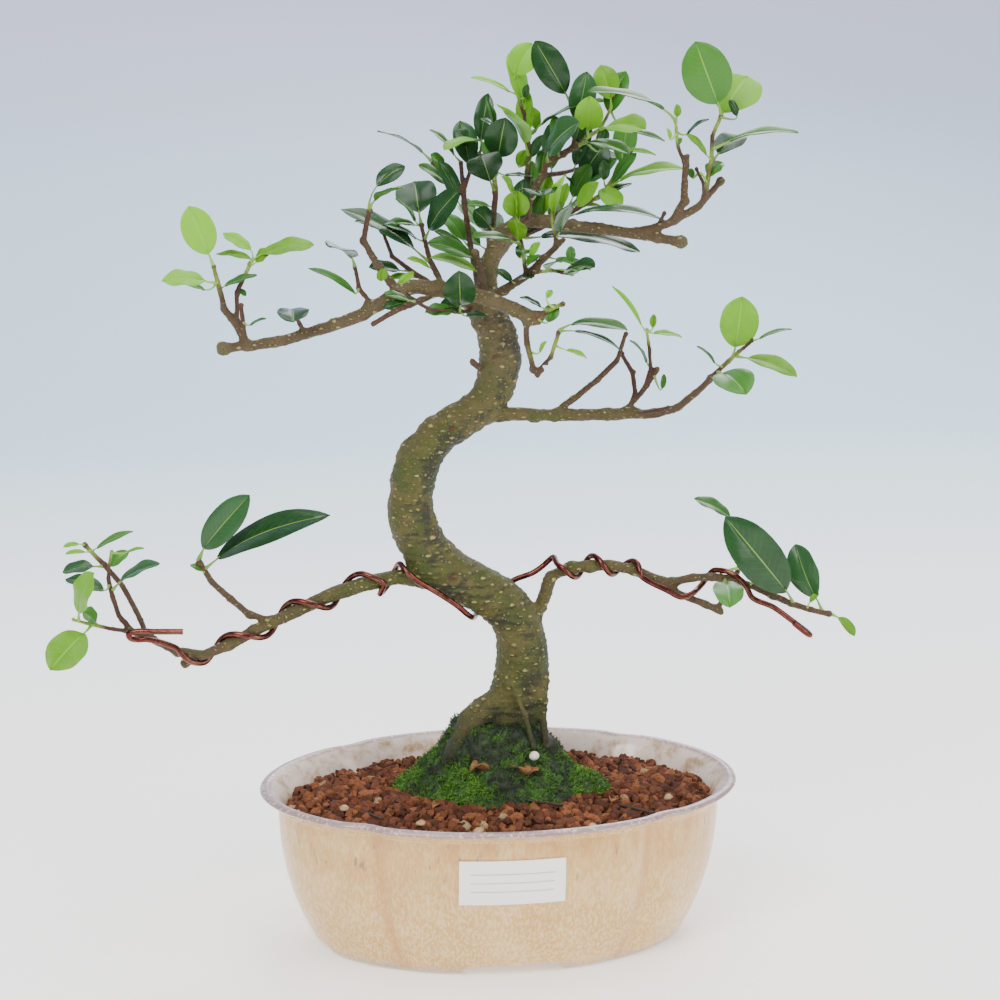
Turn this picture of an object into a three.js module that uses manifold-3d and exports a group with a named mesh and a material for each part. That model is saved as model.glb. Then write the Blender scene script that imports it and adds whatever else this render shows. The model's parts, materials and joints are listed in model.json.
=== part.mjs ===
// A small indoor fig bonsai with its training wire, in a glazed pot with four lobes.
// Millimetres, +Z up. The pot's long side lies along X and its front faces -Y.
import * as THREE from 'three';
import { mergeVertices } from 'three/addons/utils/BufferGeometryUtils.js';
import Module from 'manifold-3d';

const wasm = await Module();
wasm.setup();

// ---- Driving dimensions ----

// Pot
const potLength = 188;
const potWidth = 127;
const potHeight = 65;
const lipHeight = 6;
const lipOverhang = 7;
const lipRounding = 1.2;
const wallThickness = 5.5;
const floorThickness = 6;
const footHeight = 5;
const footGapHeight = 4.5;
const footInset = 22;
const footWidth = 9;
const footGapFront = 46;
const footGapEnd = 40;
const footRounding = 2;
const bellyPower = 2.3;
const notchAngle = THREE.MathUtils.degToRad(51.5);
const notchDepth = 2.5;
const notchWidth = THREE.MathUtils.degToRad(7);
const drainDiameter = 12;
const drainSpacing = 64;

// Drain screens
const screenSize = 22;
const screenThickness = 1;
const screenHole = 4.5;
const screenPitch = 6;

// Soil and moss
const soilBelowRim = 5;
const soilEdgeDrop = 3;
const mossLength = 80;
const mossDepth = 46;
const mossHeight = 25;
const mossCentre = new THREE.Vector2(4, 8);
const pebbleDiameter = 3.6;
const pebblePlace = new THREE.Vector2(13, -9);

// Label
const labelWidth = 40;
const labelHeight = 18;
const labelThickness = 0.3;
const labelBelowLip = 7;
const labelOffset = -2;

// Wire, leaves and the space between pieces that touch
const wireDiameter = 2.2;
const wireLooseness = 0.3;
const petioleRadius = 0.6;
const bladeThickness = 0.5;
const foldSlope = 0.25;
const leafArch = 0.1;
const clearance = 0.3;

// How far the plant is turned in its pot
const plantTurn = THREE.MathUtils.degToRad(-7);

const soilTop = potHeight - soilBelowRim;
const innerFloor = footHeight + floorThickness;
const bodyTop = potHeight - lipHeight;
const labelMiddle = bodyTop - labelBelowLip - labelHeight / 2;

// ---- Materials ----

function finish(name, color, roughness, metalness = 0) {
  return new THREE.MeshStandardMaterial({ name, color, roughness, metalness });
}

// ---- Closed meshes from rings of points ----

// Joins rings that have equally many points into one closed body, with a flat fan at each end.
function loft(rings) {
  const count = rings[0].length;
  const positions = rings.flat().flatMap((p) => [p.x, p.y, p.z]);
  const index = [];
  for (let row = 0; row < rings.length - 1; row += 1) {
    for (let i = 0; i < count; i += 1) {
      const a = row * count + i;
      const b = row * count + ((i + 1) % count);
      index.push(a, b, b + count, a, b + count, a + count);
    }
  }
  const addCap = (row, outward) => {
    const middle = new THREE.Vector3();
    rings[row].forEach((p) => middle.add(p));
    middle.divideScalar(count);
    const centre = positions.length / 3;
    positions.push(middle.x, middle.y, middle.z);
    for (let i = 0; i < count; i += 1) {
      const a = row * count + i;
      const b = row * count + ((i + 1) % count);
      index.push(...(outward ? [a, b, centre] : [b, a, centre]));
    }
  };
  addCap(0, false);
  addCap(rings.length - 1, true);
  const geometry = new THREE.BufferGeometry();
  geometry.setAttribute('position', new THREE.Float32BufferAttribute(positions, 3));
  geometry.setIndex(index);
  return geometry;
}

// ---- Solids that can be joined and cut ----

function solid(geometry, matrix) {
  const bare = geometry.clone();
  bare.deleteAttribute('normal');
  bare.deleteAttribute('uv');
  if (matrix) bare.applyMatrix4(matrix);
  const merged = mergeVertices(bare, 1e-5);
  const mesh = new wasm.Mesh({
    numProp: 3,
    vertProperties: new Float32Array(merged.attributes.position.array),
    triVerts: new Uint32Array(merged.index.array),
  });
  return new wasm.Manifold(mesh);
}

function geometryOf(manifold) {
  const mesh = manifold.getMesh();
  const geometry = new THREE.BufferGeometry();
  geometry.setAttribute('position', new THREE.Float32BufferAttribute(mesh.vertProperties, 3));
  geometry.setIndex([...mesh.triVerts]);
  return geometry;
}

// Keeps the body and drops the loose crumbs that a cut can leave beside it.
function largestBody(manifold) {
  const bodies = manifold.decompose();
  return bodies.reduce((best, body) => (body.volume() > best.volume() ? body : best));
}

const root = new THREE.Group();
const potGroup = new THREE.Group();
const plantGroup = new THREE.Group();
plantGroup.rotation.z = plantTurn;
plantGroup.position.z = soilTop;
root.add(potGroup, plantGroup);

function addMesh(group, name, geometry, material) {
  const mesh = new THREE.Mesh(geometry, material);
  mesh.name = name;
  geometry.computeVertexNormals();
  group.add(mesh);
  return mesh;
}

// ---- Pot ----

// Angles round the pot, closer together at the notches between the lobes.
const potAngles = [];
for (let quarter = 0; quarter < 4; quarter += 1) {
  const start = (quarter * Math.PI) / 2;
  const toNotch = quarter % 2 === 0 ? notchAngle : Math.PI / 2 - notchAngle;
  const stops = [0, 0.26, 0.5, 0.7, 0.86, 1];
  stops.forEach((share) => potAngles.push(start + share * toNotch));
  [0.14, 0.3, 0.5, 0.74].forEach((share) => {
    potAngles.push(start + toNotch + share * (Math.PI / 2 - toNotch));
  });
}

function notchAt(angle) {
  const fromEnd = Math.atan2(Math.abs(Math.sin(angle)), Math.abs(Math.cos(angle)));
  return Math.exp(-(((fromEnd - notchAngle) / notchWidth) ** 2));
}

// One level outline of the pot, a given distance in from the lip's edge.
function potRing(z, inset, depth = notchDepth) {
  return potAngles.map((angle) => {
    const pull = inset + depth * notchAt(angle);
    return new THREE.Vector3(
      (potLength / 2 - pull) * Math.cos(angle),
      (potWidth / 2 - pull) * Math.sin(angle),
      z,
    );
  });
}

// How far the outer wall stands in from the lip's edge at a height.
function wallInset(z) {
  const below = Math.max(0, (bodyTop - z) / bodyTop);
  return lipOverhang + (footInset - lipOverhang) * below ** bellyPower;
}

const wallLevels = [0.07, 0.2, 0.35, 0.55, 0.78, 0.97].map((share) => share * bodyTop);

function potShell() {
  const lipNotch = notchDepth * 0.6;
  const outer = wallLevels.map((z) => potRing(z, wallInset(z)));
  const innerLevels = wallLevels.filter((z) => z > innerFloor + footRounding).reverse();
  const inner = innerLevels.map((z) => potRing(z, wallInset(z) + wallThickness));
  return loft([
    potRing(0, footInset + footRounding),
    ...outer,
    potRing(bodyTop, lipRounding, lipNotch),
    potRing(bodyTop + lipRounding, 0, lipNotch),
    potRing(potHeight - lipRounding, 0, lipNotch),
    potRing(potHeight, lipRounding, lipNotch),
    potRing(potHeight, lipOverhang, lipNotch),
    potRing(potHeight - lipRounding, lipOverhang + lipRounding, lipNotch),
    ...inner,
    potRing(innerFloor + footRounding, wallInset(innerFloor + footRounding) + wallThickness),
    potRing(innerFloor, wallInset(innerFloor) + wallThickness + 2 * footRounding),
  ]);
}

function drainPlaces() {
  return [-drainSpacing / 2, drainSpacing / 2];
}

function buildPot() {
  const well = loft([
    potRing(-1, footInset + footWidth, 0),
    potRing(footHeight, footInset + footWidth, 0),
  ]);
  let pot = solid(potShell()).subtract(solid(well));
  const frontGap = new THREE.BoxGeometry(footGapFront, 2 * potWidth, 2 * footGapHeight);
  const endGap = new THREE.BoxGeometry(2 * potLength, footGapEnd, 2 * footGapHeight);
  pot = pot.subtract(solid(frontGap)).subtract(solid(endGap));
  drainPlaces().forEach((x) => {
    const hole = new THREE.CylinderGeometry(drainDiameter / 2, drainDiameter / 2, 4 * innerFloor, 24);
    hole.rotateX(Math.PI / 2);
    hole.translate(x, 0, 0);
    pot = pot.subtract(solid(hole));
  });
  return pot;
}

addMesh(potGroup, 'pot', geometryOf(buildPot()), finish('glazed_ceramic', 0xcfc0a2, 0.3));

// ---- Drain screens on the pot's inner floor ----

const screenBottom = innerFloor + clearance;

function screenGeometry() {
  const middle = screenThickness / 2;
  const plate = new THREE.BoxGeometry(screenSize, screenSize, screenThickness);
  let screen = solid(plate.translate(0, 0, middle));
  [-screenPitch, 0, screenPitch].forEach((x) => {
    [-screenPitch, 0, screenPitch].forEach((y) => {
      const hole = new THREE.BoxGeometry(screenHole, screenHole, 3 * screenThickness);
      screen = screen.subtract(solid(hole.translate(x, y, middle)));
    });
  });
  return geometryOf(screen);
}

drainPlaces().forEach((x, i) => {
  const side = ['left', 'right'][i];
  const screen = addMesh(potGroup, `drain_screen_${side}`, screenGeometry(),
    finish('plastic_mesh', 0x2c2d2b, 0.6));
  screen.position.set(x, 0, screenBottom);
});

// ---- Label on the front wall ----

function frontWall(x, z, proud) {
  const inset = wallInset(z) - proud;
  const across = x / (potLength / 2 - inset);
  return -(potWidth / 2 - inset) * Math.sqrt(1 - across * across);
}

function labelGeometry() {
  const rings = [];
  const columns = 8;
  const levels = [0, 1, 2, 3].map((i) => labelMiddle - labelHeight / 2 + (i * labelHeight) / 3);
  for (let i = 0; i <= columns; i += 1) {
    const x = labelOffset - labelWidth / 2 + (i * labelWidth) / columns;
    const back = levels.map((z) => new THREE.Vector3(x, frontWall(x, z, clearance), z));
    const face = levels.map((z) => {
      return new THREE.Vector3(x, frontWall(x, z, clearance + labelThickness), z);
    });
    rings.push([...back, ...face.reverse()]);
  }
  return loft(rings);
}

addMesh(potGroup, 'label', labelGeometry(), finish('paper_sticker', 0xe9e9e6, 0.6));

// ---- Wood: trunk, roots, branches, twigs and green shoots, grown as one ----

// Heights in this section are above the soil. Each limb starts on another limb, at a share
// of that limb's length, and runs through its points with a radius that tapers.
const limbs = {};

function addLimb(name, from, at, points, radii, sides = 5) {
  const path = points.map((p) => new THREE.Vector3(...p));
  if (from) path.unshift(limbs[from].pointAt(at));
  const curve = new THREE.CatmullRomCurve3(path, false, 'centripetal');
  const radiusAt = (share) => {
    const step = share * (radii.length - 1);
    const low = Math.min(Math.floor(step), radii.length - 2);
    return THREE.MathUtils.lerp(radii[low], radii[low + 1], step - low);
  };
  const steps = Math.max(2, Math.round(path.length * (sides > 6 ? 1.2 : 0.7)));
  const middles = curve.getSpacedPoints(steps);
  // A point on the straight stretches between the limb's rings, where its bark really is
  const pointAt = (share) => {
    const step = share * steps;
    const low = Math.min(Math.floor(step), steps - 1);
    return middles[low].clone().lerp(middles[low + 1], step - low);
  };
  limbs[name] = { curve, radiusAt, pointAt, sides, steps, middles };
}

function limbGeometry(limb, grow) {
  const frames = limb.curve.computeFrenetFrames(limb.steps, false);
  const rings = [];
  for (let i = 0; i <= limb.steps; i += 1) {
    const middle = limb.middles[i];
    const radius = limb.radiusAt(i / limb.steps) + grow;
    const ring = [];
    for (let side = 0; side < limb.sides; side += 1) {
      const angle = (2 * Math.PI * side) / limb.sides;
      const point = middle.clone();
      point.addScaledVector(frames.normals[i], radius * Math.cos(angle));
      point.addScaledVector(frames.binormals[i], radius * Math.sin(angle));
      ring.push(point);
    }
    rings.push(ring);
  }
  return loft(rings);
}

// Trunk, from below the soil through its S bend to the top
addLimb('trunk', null, 0,
  [[2, 10, -14], [1, 10, 4], [3, 10, 22], [7, 10, 37], [9, 10, 52], [8, 9, 63], [2, 7, 73],
    [-8, 5, 80], [-19, 3, 87], [-29, 1, 96], [-34, 1, 108], [-34, 2, 121], [-31, 4, 133],
    [-24, 6, 141], [-13, 9, 147], [-4, 12, 154], [0, 13, 164], [0, 13, 175], [-4, 12, 184],
    [-7, 11, 191], [-8, 10, 196]],
  [15, 14.5, 13.5, 12, 11, 10.5, 9.7, 9.4, 9.4, 9.2, 9.4, 9.1, 9, 9.1, 8.2, 7.6, 7.3, 8, 8.4,
    7.6, 5.5], 12);

// Roots and aerial roots
addLimb('root_left', 'trunk', 0.2, [[-10, 0, 30], [-17, -3, 18], [-24, -7, 4], [-30, -9, -8]],
  [8, 6, 4.4, 3.2, 2.4], 7);
addLimb('root_right', 'trunk', 0.12, [[18, 8, 14], [28, 5, 3], [36, 3, -8]], [8, 6, 3.8, 2.4], 7);
addLimb('root_front', 'trunk', 0.12, [[5, -2, 16], [8, -12, 4], [10, -18, -8]],
  [8, 6, 3.6, 2], 7);
addLimb('root_back_left', 'trunk', 0.12, [[-6, 20, 14], [-14, 29, 2], [-20, 35, -8]],
  [8, 6, 3.6, 2.2], 7);
addLimb('root_back_right', 'trunk', 0.12, [[14, 20, 14], [24, 28, 2], [30, 34, -8]],
  [8, 6, 3.6, 2.2], 7);
addLimb('aerial_root_front', 'trunk', 0.27, [[4, -2, 42], [10, -4, 31], [13, -5, 18]],
  [1.4, 1.2, 1.1, 1.1]);
addLimb('aerial_root_right', 'trunk', 0.27, [[19, 7, 40], [17, 3, 28], [18, 1, 14]],
  [1.9, 1.8, 1.6, 1.5]);

// Main branches
addLimb('leader', 'trunk', 0.96, [[-4, 16, 206], [-2, 17, 214], [8, 16, 222], [28, 12, 220],
  [42, 10, 219], [54, 8, 217], [69, 4, 215]], [4.2, 3.5, 2.6, 2.1, 1.8], 7);
addLimb('leader_fork', 'leader', 0.8, [[62, 6, 221], [75, 8, 228], [84, 12, 238]],
  [1.8, 1.5, 1.2], 6);
addLimb('upper_left', 'trunk', 0.96, [[-21, 3, 197], [-36, 0, 198], [-46, -2, 191],
  [-58, -4, 186], [-75, -7, 181], [-89, -10, 178], [-105, -12, 177]],
[3.6, 3, 2.8, 2.4, 2.1, 1.9], 7);
addLimb('front_branch', 'upper_left', 0.14, [[-14, -5, 197], [-4, -8, 195], [6, -9, 191],
  [15, -8, 187]], [2.8, 2.8, 2.8], 7);
addLimb('right_middle', 'trunk', 0.77, [[10, 13, 148], [17, 14, 147], [28, 16, 147],
  [44, 17, 147], [60, 18, 147], [70, 17, 150], [76, 15, 156], [82, 13, 162]],
[3.2, 2.6, 2.4, 1.8, 1.1], 7);
addLimb('lower_left', 'trunk', 0.42, [[-26, 1, 84], [-34, -2, 86], [-42, -6, 88], [-50, -10, 86],
  [-61, -14, 84], [-79, -20, 77], [-95, -24, 70], [-111, -28, 63], [-122, -29, 65],
  [-132, -29, 70], [-140, -28, 73]], [3.8, 3.4, 2.9, 2.3, 2, 1.2], 7);
addLimb('lower_right', 'trunk', 0.32, [[16, 12, 69], [18, 14, 77], [21, 15, 84], [28, 15, 86],
  [46, 15, 87], [60, 14, 82], [67, 15, 80], [75, 15, 82], [87, 15, 82], [96, 15, 80],
  [107, 15, 75], [119, 15, 70], [131, 15, 67]], [3, 2.6, 2.2, 1.8, 1.4, 1], 7);
addLimb('lower_right_low', 'lower_right', 0.47, [[66, 14, 78], [72, 14, 75], [80, 14, 72],
  [88, 14, 68]], [1.8, 1.7, 1.6, 1.5], 6);

// Twigs at the left
addLimb('left_rise', 'upper_left', 0.9, [[-99, -10, 187], [-103, -10, 192]], [1.9, 1.5]);
addLimb('left_shoot', 'left_rise', 0.95, [[-104, -11, 199], [-106, -12, 208]], [1.2, 0.7]);
addLimb('left_shoot_back', 'left_rise', 0.5, [[-98, -7, 198], [-93, -4, 208]], [1.1, 0.7]);
addLimb('left_stub', 'left_rise', 0.1, [[-96, -14, 194]], [1, 0.8]);
addLimb('left_spur', 'upper_left', 0.7, [[-77, -9, 190]], [0.9, 0.7]);
addLimb('left_twig_c', 'upper_left', 0.45, [[-53, -4, 199], [-54, -6, 207]], [1.1, 0.7]);
addLimb('left_twig_d', 'upper_left', 0.35, [[-47, -6, 209], [-51, -10, 220], [-48, -12, 229]],
  [1.9, 1.4, 0.9], 6);
addLimb('left_twig_e', 'upper_left', 0.2, [[-36, 10, 205], [-44, 14, 212], [-45, 14, 219]],
  [1.1, 0.7]);
addLimb('left_twig_f', 'upper_left', 0.18, [[-28, 10, 211], [-30, 12, 221]], [1.4, 0.8]);
addLimb('left_under', 'upper_left', 0.18, [[-36, -8, 192], [-44, -9, 188], [-48, -6, 185]],
  [1.3, 1.1]);
addLimb('trunk_twig', 'trunk', 0.97, [[-22, -9, 190], [-31, -13, 194], [-39, -14, 199]],
  [0.9, 0.7]);
addLimb('trunk_spur', 'trunk', 0.83, [[-8, 5, 170], [-11, 3, 170]], [2, 1.3], 6);

// Twigs of the crown
addLimb('tall', 'trunk', 0.99, [[-12, 18, 216], [-14, 20, 232], [-15, 21, 244]],
  [1.5, 1.1, 0.8], 6);
addLimb('tall_left', 'tall', 0.75, [[-20, 18, 239], [-26, 16, 244]], [0.9, 0.7]);
addLimb('tall_right', 'tall', 0.78, [[-10, 24, 244], [-6, 26, 250]], [0.8, 0.6]);
addLimb('stump', 'trunk', 0.98, [[-7, 2, 204], [-9, -1, 212]], [1.7, 1.3], 6);
addLimb('front_rise', 'trunk', 0.98, [[7, 0, 201], [14, -5, 206], [19, -9, 214], [24, -12, 218]],
  [2, 1.6, 1.1], 6);
addLimb('front_shoot', 'front_rise', 0.5, [[8, -10, 217], [6, -14, 224]], [0.9, 0.6]);
addLimb('front_low', 'front_rise', 0.55, [[23, -12, 206], [27, -15, 205]], [0.8, 0.6]);
addLimb('crown_main', 'leader', 0.15, [[8, 20, 222], [12, 20, 228], [14, 18, 236],
  [16, 16, 242], [21, 15, 246], [29, 14, 250]], [2.2, 1.7, 1.1], 6);
addLimb('crown_top', 'crown_main', 0.42, [[11, 22, 244], [10, 24, 259], [7, 24, 267],
  [5, 23, 273]], [1.3, 0.7]);
addLimb('crown_tip', 'crown_main', 0.97, [[29, 16, 257], [27, 18, 265]], [0.9, 0.6]);
addLimb('crown_left', 'leader', 0.12, [[-2, 22, 229], [-1, 20, 237], [-3, 16, 248]],
  [1.7, 1.2, 0.7]);
addLimb('crown_back', 'leader', 0.24, [[30, 32, 228], [36, 36, 237], [32, 38, 244]],
  [1.1, 0.7]);
addLimb('crown_right', 'leader', 0.24, [[28, 22, 225], [38, 26, 230], [44, 28, 236],
  [48, 30, 244]], [1.4, 0.7]);
addLimb('crown_far', 'crown_main', 0.9, [[34, 18, 254], [39, 20, 257], [42, 20, 264]],
  [0.9, 0.6]);
addLimb('crown_low', 'front_rise', 0.9, [[19, -16, 227], [19, -18, 235]], [0.8, 0.6]);
addLimb('crown_behind', 'leader', 0.13, [[-5, 34, 220], [-9, 44, 222]], [1.4, 0.8]);
addLimb('crown_front', 'leader', 0.26, [[15, 2, 229], [12, -6, 234]], [1.2, 0.7]);
addLimb('crown_rear', 'crown_main', 0.7, [[26, 34, 239], [32, 46, 240]], [1.1, 0.7]);

// Twigs at the right, above and in the middle
addLimb('drop', 'front_branch', 0.86, [[10, -10, 179], [12, -12, 171], [14, -13, 167],
  [19, -14, 174], [22, -14, 184]], [1.3, 0.8]);
addLimb('front_tip', 'front_branch', 0.95, [[16, -10, 190], [24, -12, 194]], [1, 0.8]);
addLimb('middle_a', 'right_middle', 0.33, [[33, 14, 157], [40, 11, 164], [46, 9, 171],
  [48, 8, 180]], [1.6, 1.2, 0.8]);
addLimb('middle_b', 'right_middle', 0.62, [[53, 21, 156], [50, 22, 166], [47, 23, 170]],
  [1.2, 0.8]);
addLimb('middle_c', 'right_middle', 0.6, [[57, 14, 159], [61, 11, 166]], [1.2, 0.9]);
addLimb('middle_shoot', 'middle_c', 0.6, [[58, 12, 167], [57, 11, 175], [56, 10, 181]],
  [0.8, 0.6]);
addLimb('middle_stub', 'right_middle', 0.62, [[60, 12, 149], [65, 9, 151]], [0.9, 0.7]);
addLimb('middle_end', 'right_middle', 0.92, [[83, 12, 164], [89, 11, 170]], [1.1, 0.8]);
addLimb('middle_tip', 'middle_end', 0.9, [[91, 6, 173], [96, 3, 178]], [0.8, 0.6]);
addLimb('right_rise', 'leader_fork', 0.4, [[69, 6, 230], [69, 5, 238], [70, 4, 248]],
  [1.6, 1.1]);
addLimb('right_shoot', 'right_rise', 0.8, [[66, 2, 251], [65, 0, 260]], [0.8, 0.6]);
addLimb('right_top', 'leader_fork', 0.75, [[78, 6, 239], [79, 4, 247], [79, 4, 254],
  [82, 2, 262]], [1.1, 0.7]);
addLimb('right_small', 'leader_fork', 0.72, [[77, 12, 236], [74, 14, 242]], [0.8, 0.6]);
addLimb('right_spur', 'leader_fork', 0.25, [[62, 6, 226]], [0.8, 0.6]);

// Twigs of the lower branches
addLimb('low_stub', 'lower_left', 0.79, [[-115, -24, 60], [-120, -21, 57]], [1.5, 1.4], 6);
addLimb('low_rise', 'lower_left', 0.58, [[-96, -20, 77], [-103, -18, 83], [-108, -17, 87],
  [-112, -17, 92], [-114, -17, 97]], [1.5, 1.4, 1.1], 6);
addLimb('low_end_a', 'lower_left', 0.94, [[-137, -24, 79], [-142, -20, 87], [-150, -16, 95],
  [-158, -12, 102]], [1.2, 0.9]);
addLimb('low_end_b', 'lower_left', 0.985, [[-143, -29, 79], [-145, -30, 88], [-146, -31, 94]],
  [1.2, 0.8]);
addLimb('low_end_top', 'low_end_b', 0.95, [[-145, -32, 100], [-144, -32, 104]], [0.7, 0.6]);
addLimb('low_shoot', 'lower_left', 0.985, [[-146, -34, 75], [-153, -38, 78], [-158, -40, 80]],
  [0.8, 0.6]);
addLimb('low_loop', 'lower_right_low', 0.9, [[90, 18, 72], [91, 20, 76], [93, 21, 81],
  [97, 22, 89], [94, 26, 100]], [1.2, 0.7]);

function buildWood(grow) {
  return Object.values(limbs)
    .map((limb) => solid(limbGeometry(limb, grow)))
    .reduce((sum, limb) => sum.add(limb));
}

const woodManifold = buildWood(0);
const woodSocket = buildWood(clearance);
addMesh(plantGroup, 'trunk_and_branches', geometryOf(woodManifold),
  finish('living_bark', 0x6f6a52, 0.8));

// ---- Soil, cut round the roots and the drain screens ----

function buildSoil() {
  const wallRing = (z, extra = 0) => {
    return potRing(z, wallInset(z) + wallThickness + clearance + extra);
  };
  const edgeTop = soilTop - soilEdgeDrop;
  const bottom = innerFloor + clearance;
  const levels = wallLevels.filter((z) => z > bottom + 2 * footRounding && z < edgeTop);
  let soil = solid(loft([
    wallRing(bottom, 2 * footRounding),
    wallRing(innerFloor + footRounding, clearance),
    ...levels.map((z) => wallRing(z)),
    wallRing(edgeTop, clearance),
    wallRing(edgeTop + 0.8 * soilEdgeDrop, 8),
    wallRing(soilTop, 18),
  ]));
  const screenSpace = screenSize + 2 * clearance;
  drainPlaces().forEach((x) => {
    const space = new THREE.BoxGeometry(screenSpace, screenSpace, 2 * (screenThickness + clearance));
    space.translate(x, 0, screenBottom);
    soil = soil.subtract(solid(space));
  });
  const intoPot = new THREE.Matrix4().makeRotationZ(plantTurn).setPosition(0, 0, soilTop);
  return largestBody(soil.subtract(solid(geometryOf(woodSocket), intoPot)));
}

addMesh(potGroup, 'soil', geometryOf(buildSoil()), finish('clay_granules', 0x6b4a38, 0.95));

// ---- Moss mound with cushions, and a pebble on it ----

function mossTop(x, y) {
  const across = (x - mossCentre.x) / (mossLength / 2);
  const along = (y - mossCentre.y) / (mossDepth / 2);
  return mossHeight * Math.sqrt(Math.max(0, 1 - across * across - along * along));
}

function cushion(x, y, radius, height) {
  const ball = new THREE.SphereGeometry(radius, 12, 8);
  ball.rotateX(Math.PI / 2);
  ball.scale(1, 0.8, height / radius);
  ball.translate(x, y, 0);
  return solid(ball);
}

function buildMoss() {
  const dome = new THREE.SphereGeometry(1, 22, 12);
  dome.rotateX(Math.PI / 2);
  dome.scale(mossLength / 2, mossDepth / 2, mossHeight);
  dome.translate(mossCentre.x, mossCentre.y, 0);
  const below = new THREE.BoxGeometry(3 * mossLength, 3 * mossLength, 2 * mossHeight);
  below.translate(0, 0, clearance - mossHeight);
  const mound = solid(dome)
    .add(cushion(-32, 2, 9, 6))
    .add(cushion(-15, -10, 8, 9))
    .add(cushion(34, 0, 10, 11))
    .add(cushion(22, -8, 8, 8));
  return largestBody(mound.subtract(solid(below)).subtract(woodSocket));
}

addMesh(plantGroup, 'moss', geometryOf(buildMoss()), finish('moss', 0x4e6a1e, 0.95));

function pebbleCentre() {
  const { x, y } = pebblePlace;
  const seat = new THREE.Vector3(x, y, mossTop(x, y));
  const slope = new THREE.Vector3(
    (x - mossCentre.x) / (mossLength / 2) ** 2,
    (y - mossCentre.y) / (mossDepth / 2) ** 2,
    seat.z / mossHeight ** 2,
  ).normalize();
  return seat.addScaledVector(slope, pebbleDiameter / 2 + clearance);
}

const pebble = addMesh(plantGroup, 'white_pebble',
  new THREE.IcosahedronGeometry(pebbleDiameter / 2, 1), finish('pebble', 0xe6e4dc, 0.6));
pebble.position.copy(pebbleCentre());

// ---- Training wire ----

// Turns round a limb, a wire's half thickness off its bark. Angle 0 is above the limb
// and a quarter turn is towards the front.
function windings(name, from, to, startTurn, endTurn) {
  const limb = limbs[name];
  const stepsPerTurn = 10;
  const steps = Math.round((endTurn - startTurn) * stepsPerTurn);
  const points = [];
  for (let i = 0; i <= steps; i += 1) {
    const at = THREE.MathUtils.lerp(from, to, i / steps);
    const angle = 2 * Math.PI * THREE.MathUtils.lerp(startTurn, endTurn, i / steps);
    const along = limb.curve.getTangentAt(at);
    const front = new THREE.Vector3(0, 0, 1).cross(along).normalize();
    if (front.y > 0) front.negate();
    const above = new THREE.Vector3().crossVectors(front, along).normalize();
    if (above.z < 0) above.negate();
    const reach = limb.radiusAt(at) + wireDiameter / 2 + wireLooseness;
    const point = limb.pointAt(at);
    point.addScaledVector(above, reach * Math.cos(angle));
    point.addScaledVector(front, reach * Math.sin(angle));
    points.push(point);
  }
  return points;
}

function handPoints(list) {
  return list.map((p) => new THREE.Vector3(...p));
}

function wireCurve() {
  return new THREE.CatmullRomCurve3([
    ...handPoints([[-118, -35, 74], [-128, -35, 74], [-136, -35, 74], [-139, -34.5, 72.5],
      [-137, -34, 70.8], [-131, -33.5, 70.5]]),
    ...windings('lower_left', 0.86, 0.28, 0.16, 3.25),
    ...handPoints([[-46, -10, 82], [-43, -2.5, 84], [-40.5, 0, 89], [-38.5, -4, 92.3],
      [-36, -8, 90.5], [-31, -7.5, 86], [-25, -6, 82], [-17, -5.5, 76.5], [-12, -3, 71.5],
      [-10, 6, 68.5], [-8, 15, 70], [-2, 20, 75], [6, 20, 80], [13, 19, 83], [17.5, 20, 86],
      [21, 18.7, 89.5]]),
    ...windings('lower_right', 0.205, 0.44, 0.05, 2.25),
    ...handPoints([[66, 9.5, 78], [71, 9.5, 75.5], [75.5, 11.5, 76.5], [78, 15.5, 77.3],
      [81, 18.7, 79.8], [84, 18, 84]]),
    ...windings('lower_right', 0.68, 0.74, 1, 1.25),
    ...handPoints([[99, 11, 75], [107, 10, 71.5], [114, 10, 66.5], [120, 9.5, 62],
      [122, 8, 60.5], [120.5, 6.5, 61.5], [115, 6, 66]]),
  ], false, 'centripetal');
}

function wireGeometry() {
  const section = new THREE.Shape();
  const sides = 6;
  for (let i = 0; i < sides; i += 1) {
    const angle = (2 * Math.PI * i) / sides;
    const x = (wireDiameter / 2) * Math.cos(angle);
    const y = (wireDiameter / 2) * Math.sin(angle);
    if (i === 0) section.moveTo(x, y);
    else section.lineTo(x, y);
  }
  section.closePath();
  return new THREE.ExtrudeGeometry(section, {
    steps: 150,
    bevelEnabled: false,
    extrudePath: wireCurve(),
  });
}

addMesh(plantGroup, 'training_wire', wireGeometry(), finish('anodised_wire', 0x7c5a3c, 0.35, 0.8));

// ---- Leaves ----

const leafColours = { bright: 0xa8cc3e, mid: 0x6f9a3c, dark: 0x3c5a2a };
const upward = new THREE.Vector3(0, 0, 1);

// Half width along the blade as a share of the widest place: a pointed oval.
function bladeShape(share) {
  return Math.sin(Math.PI * share ** 0.85) ** 0.75;
}

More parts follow.
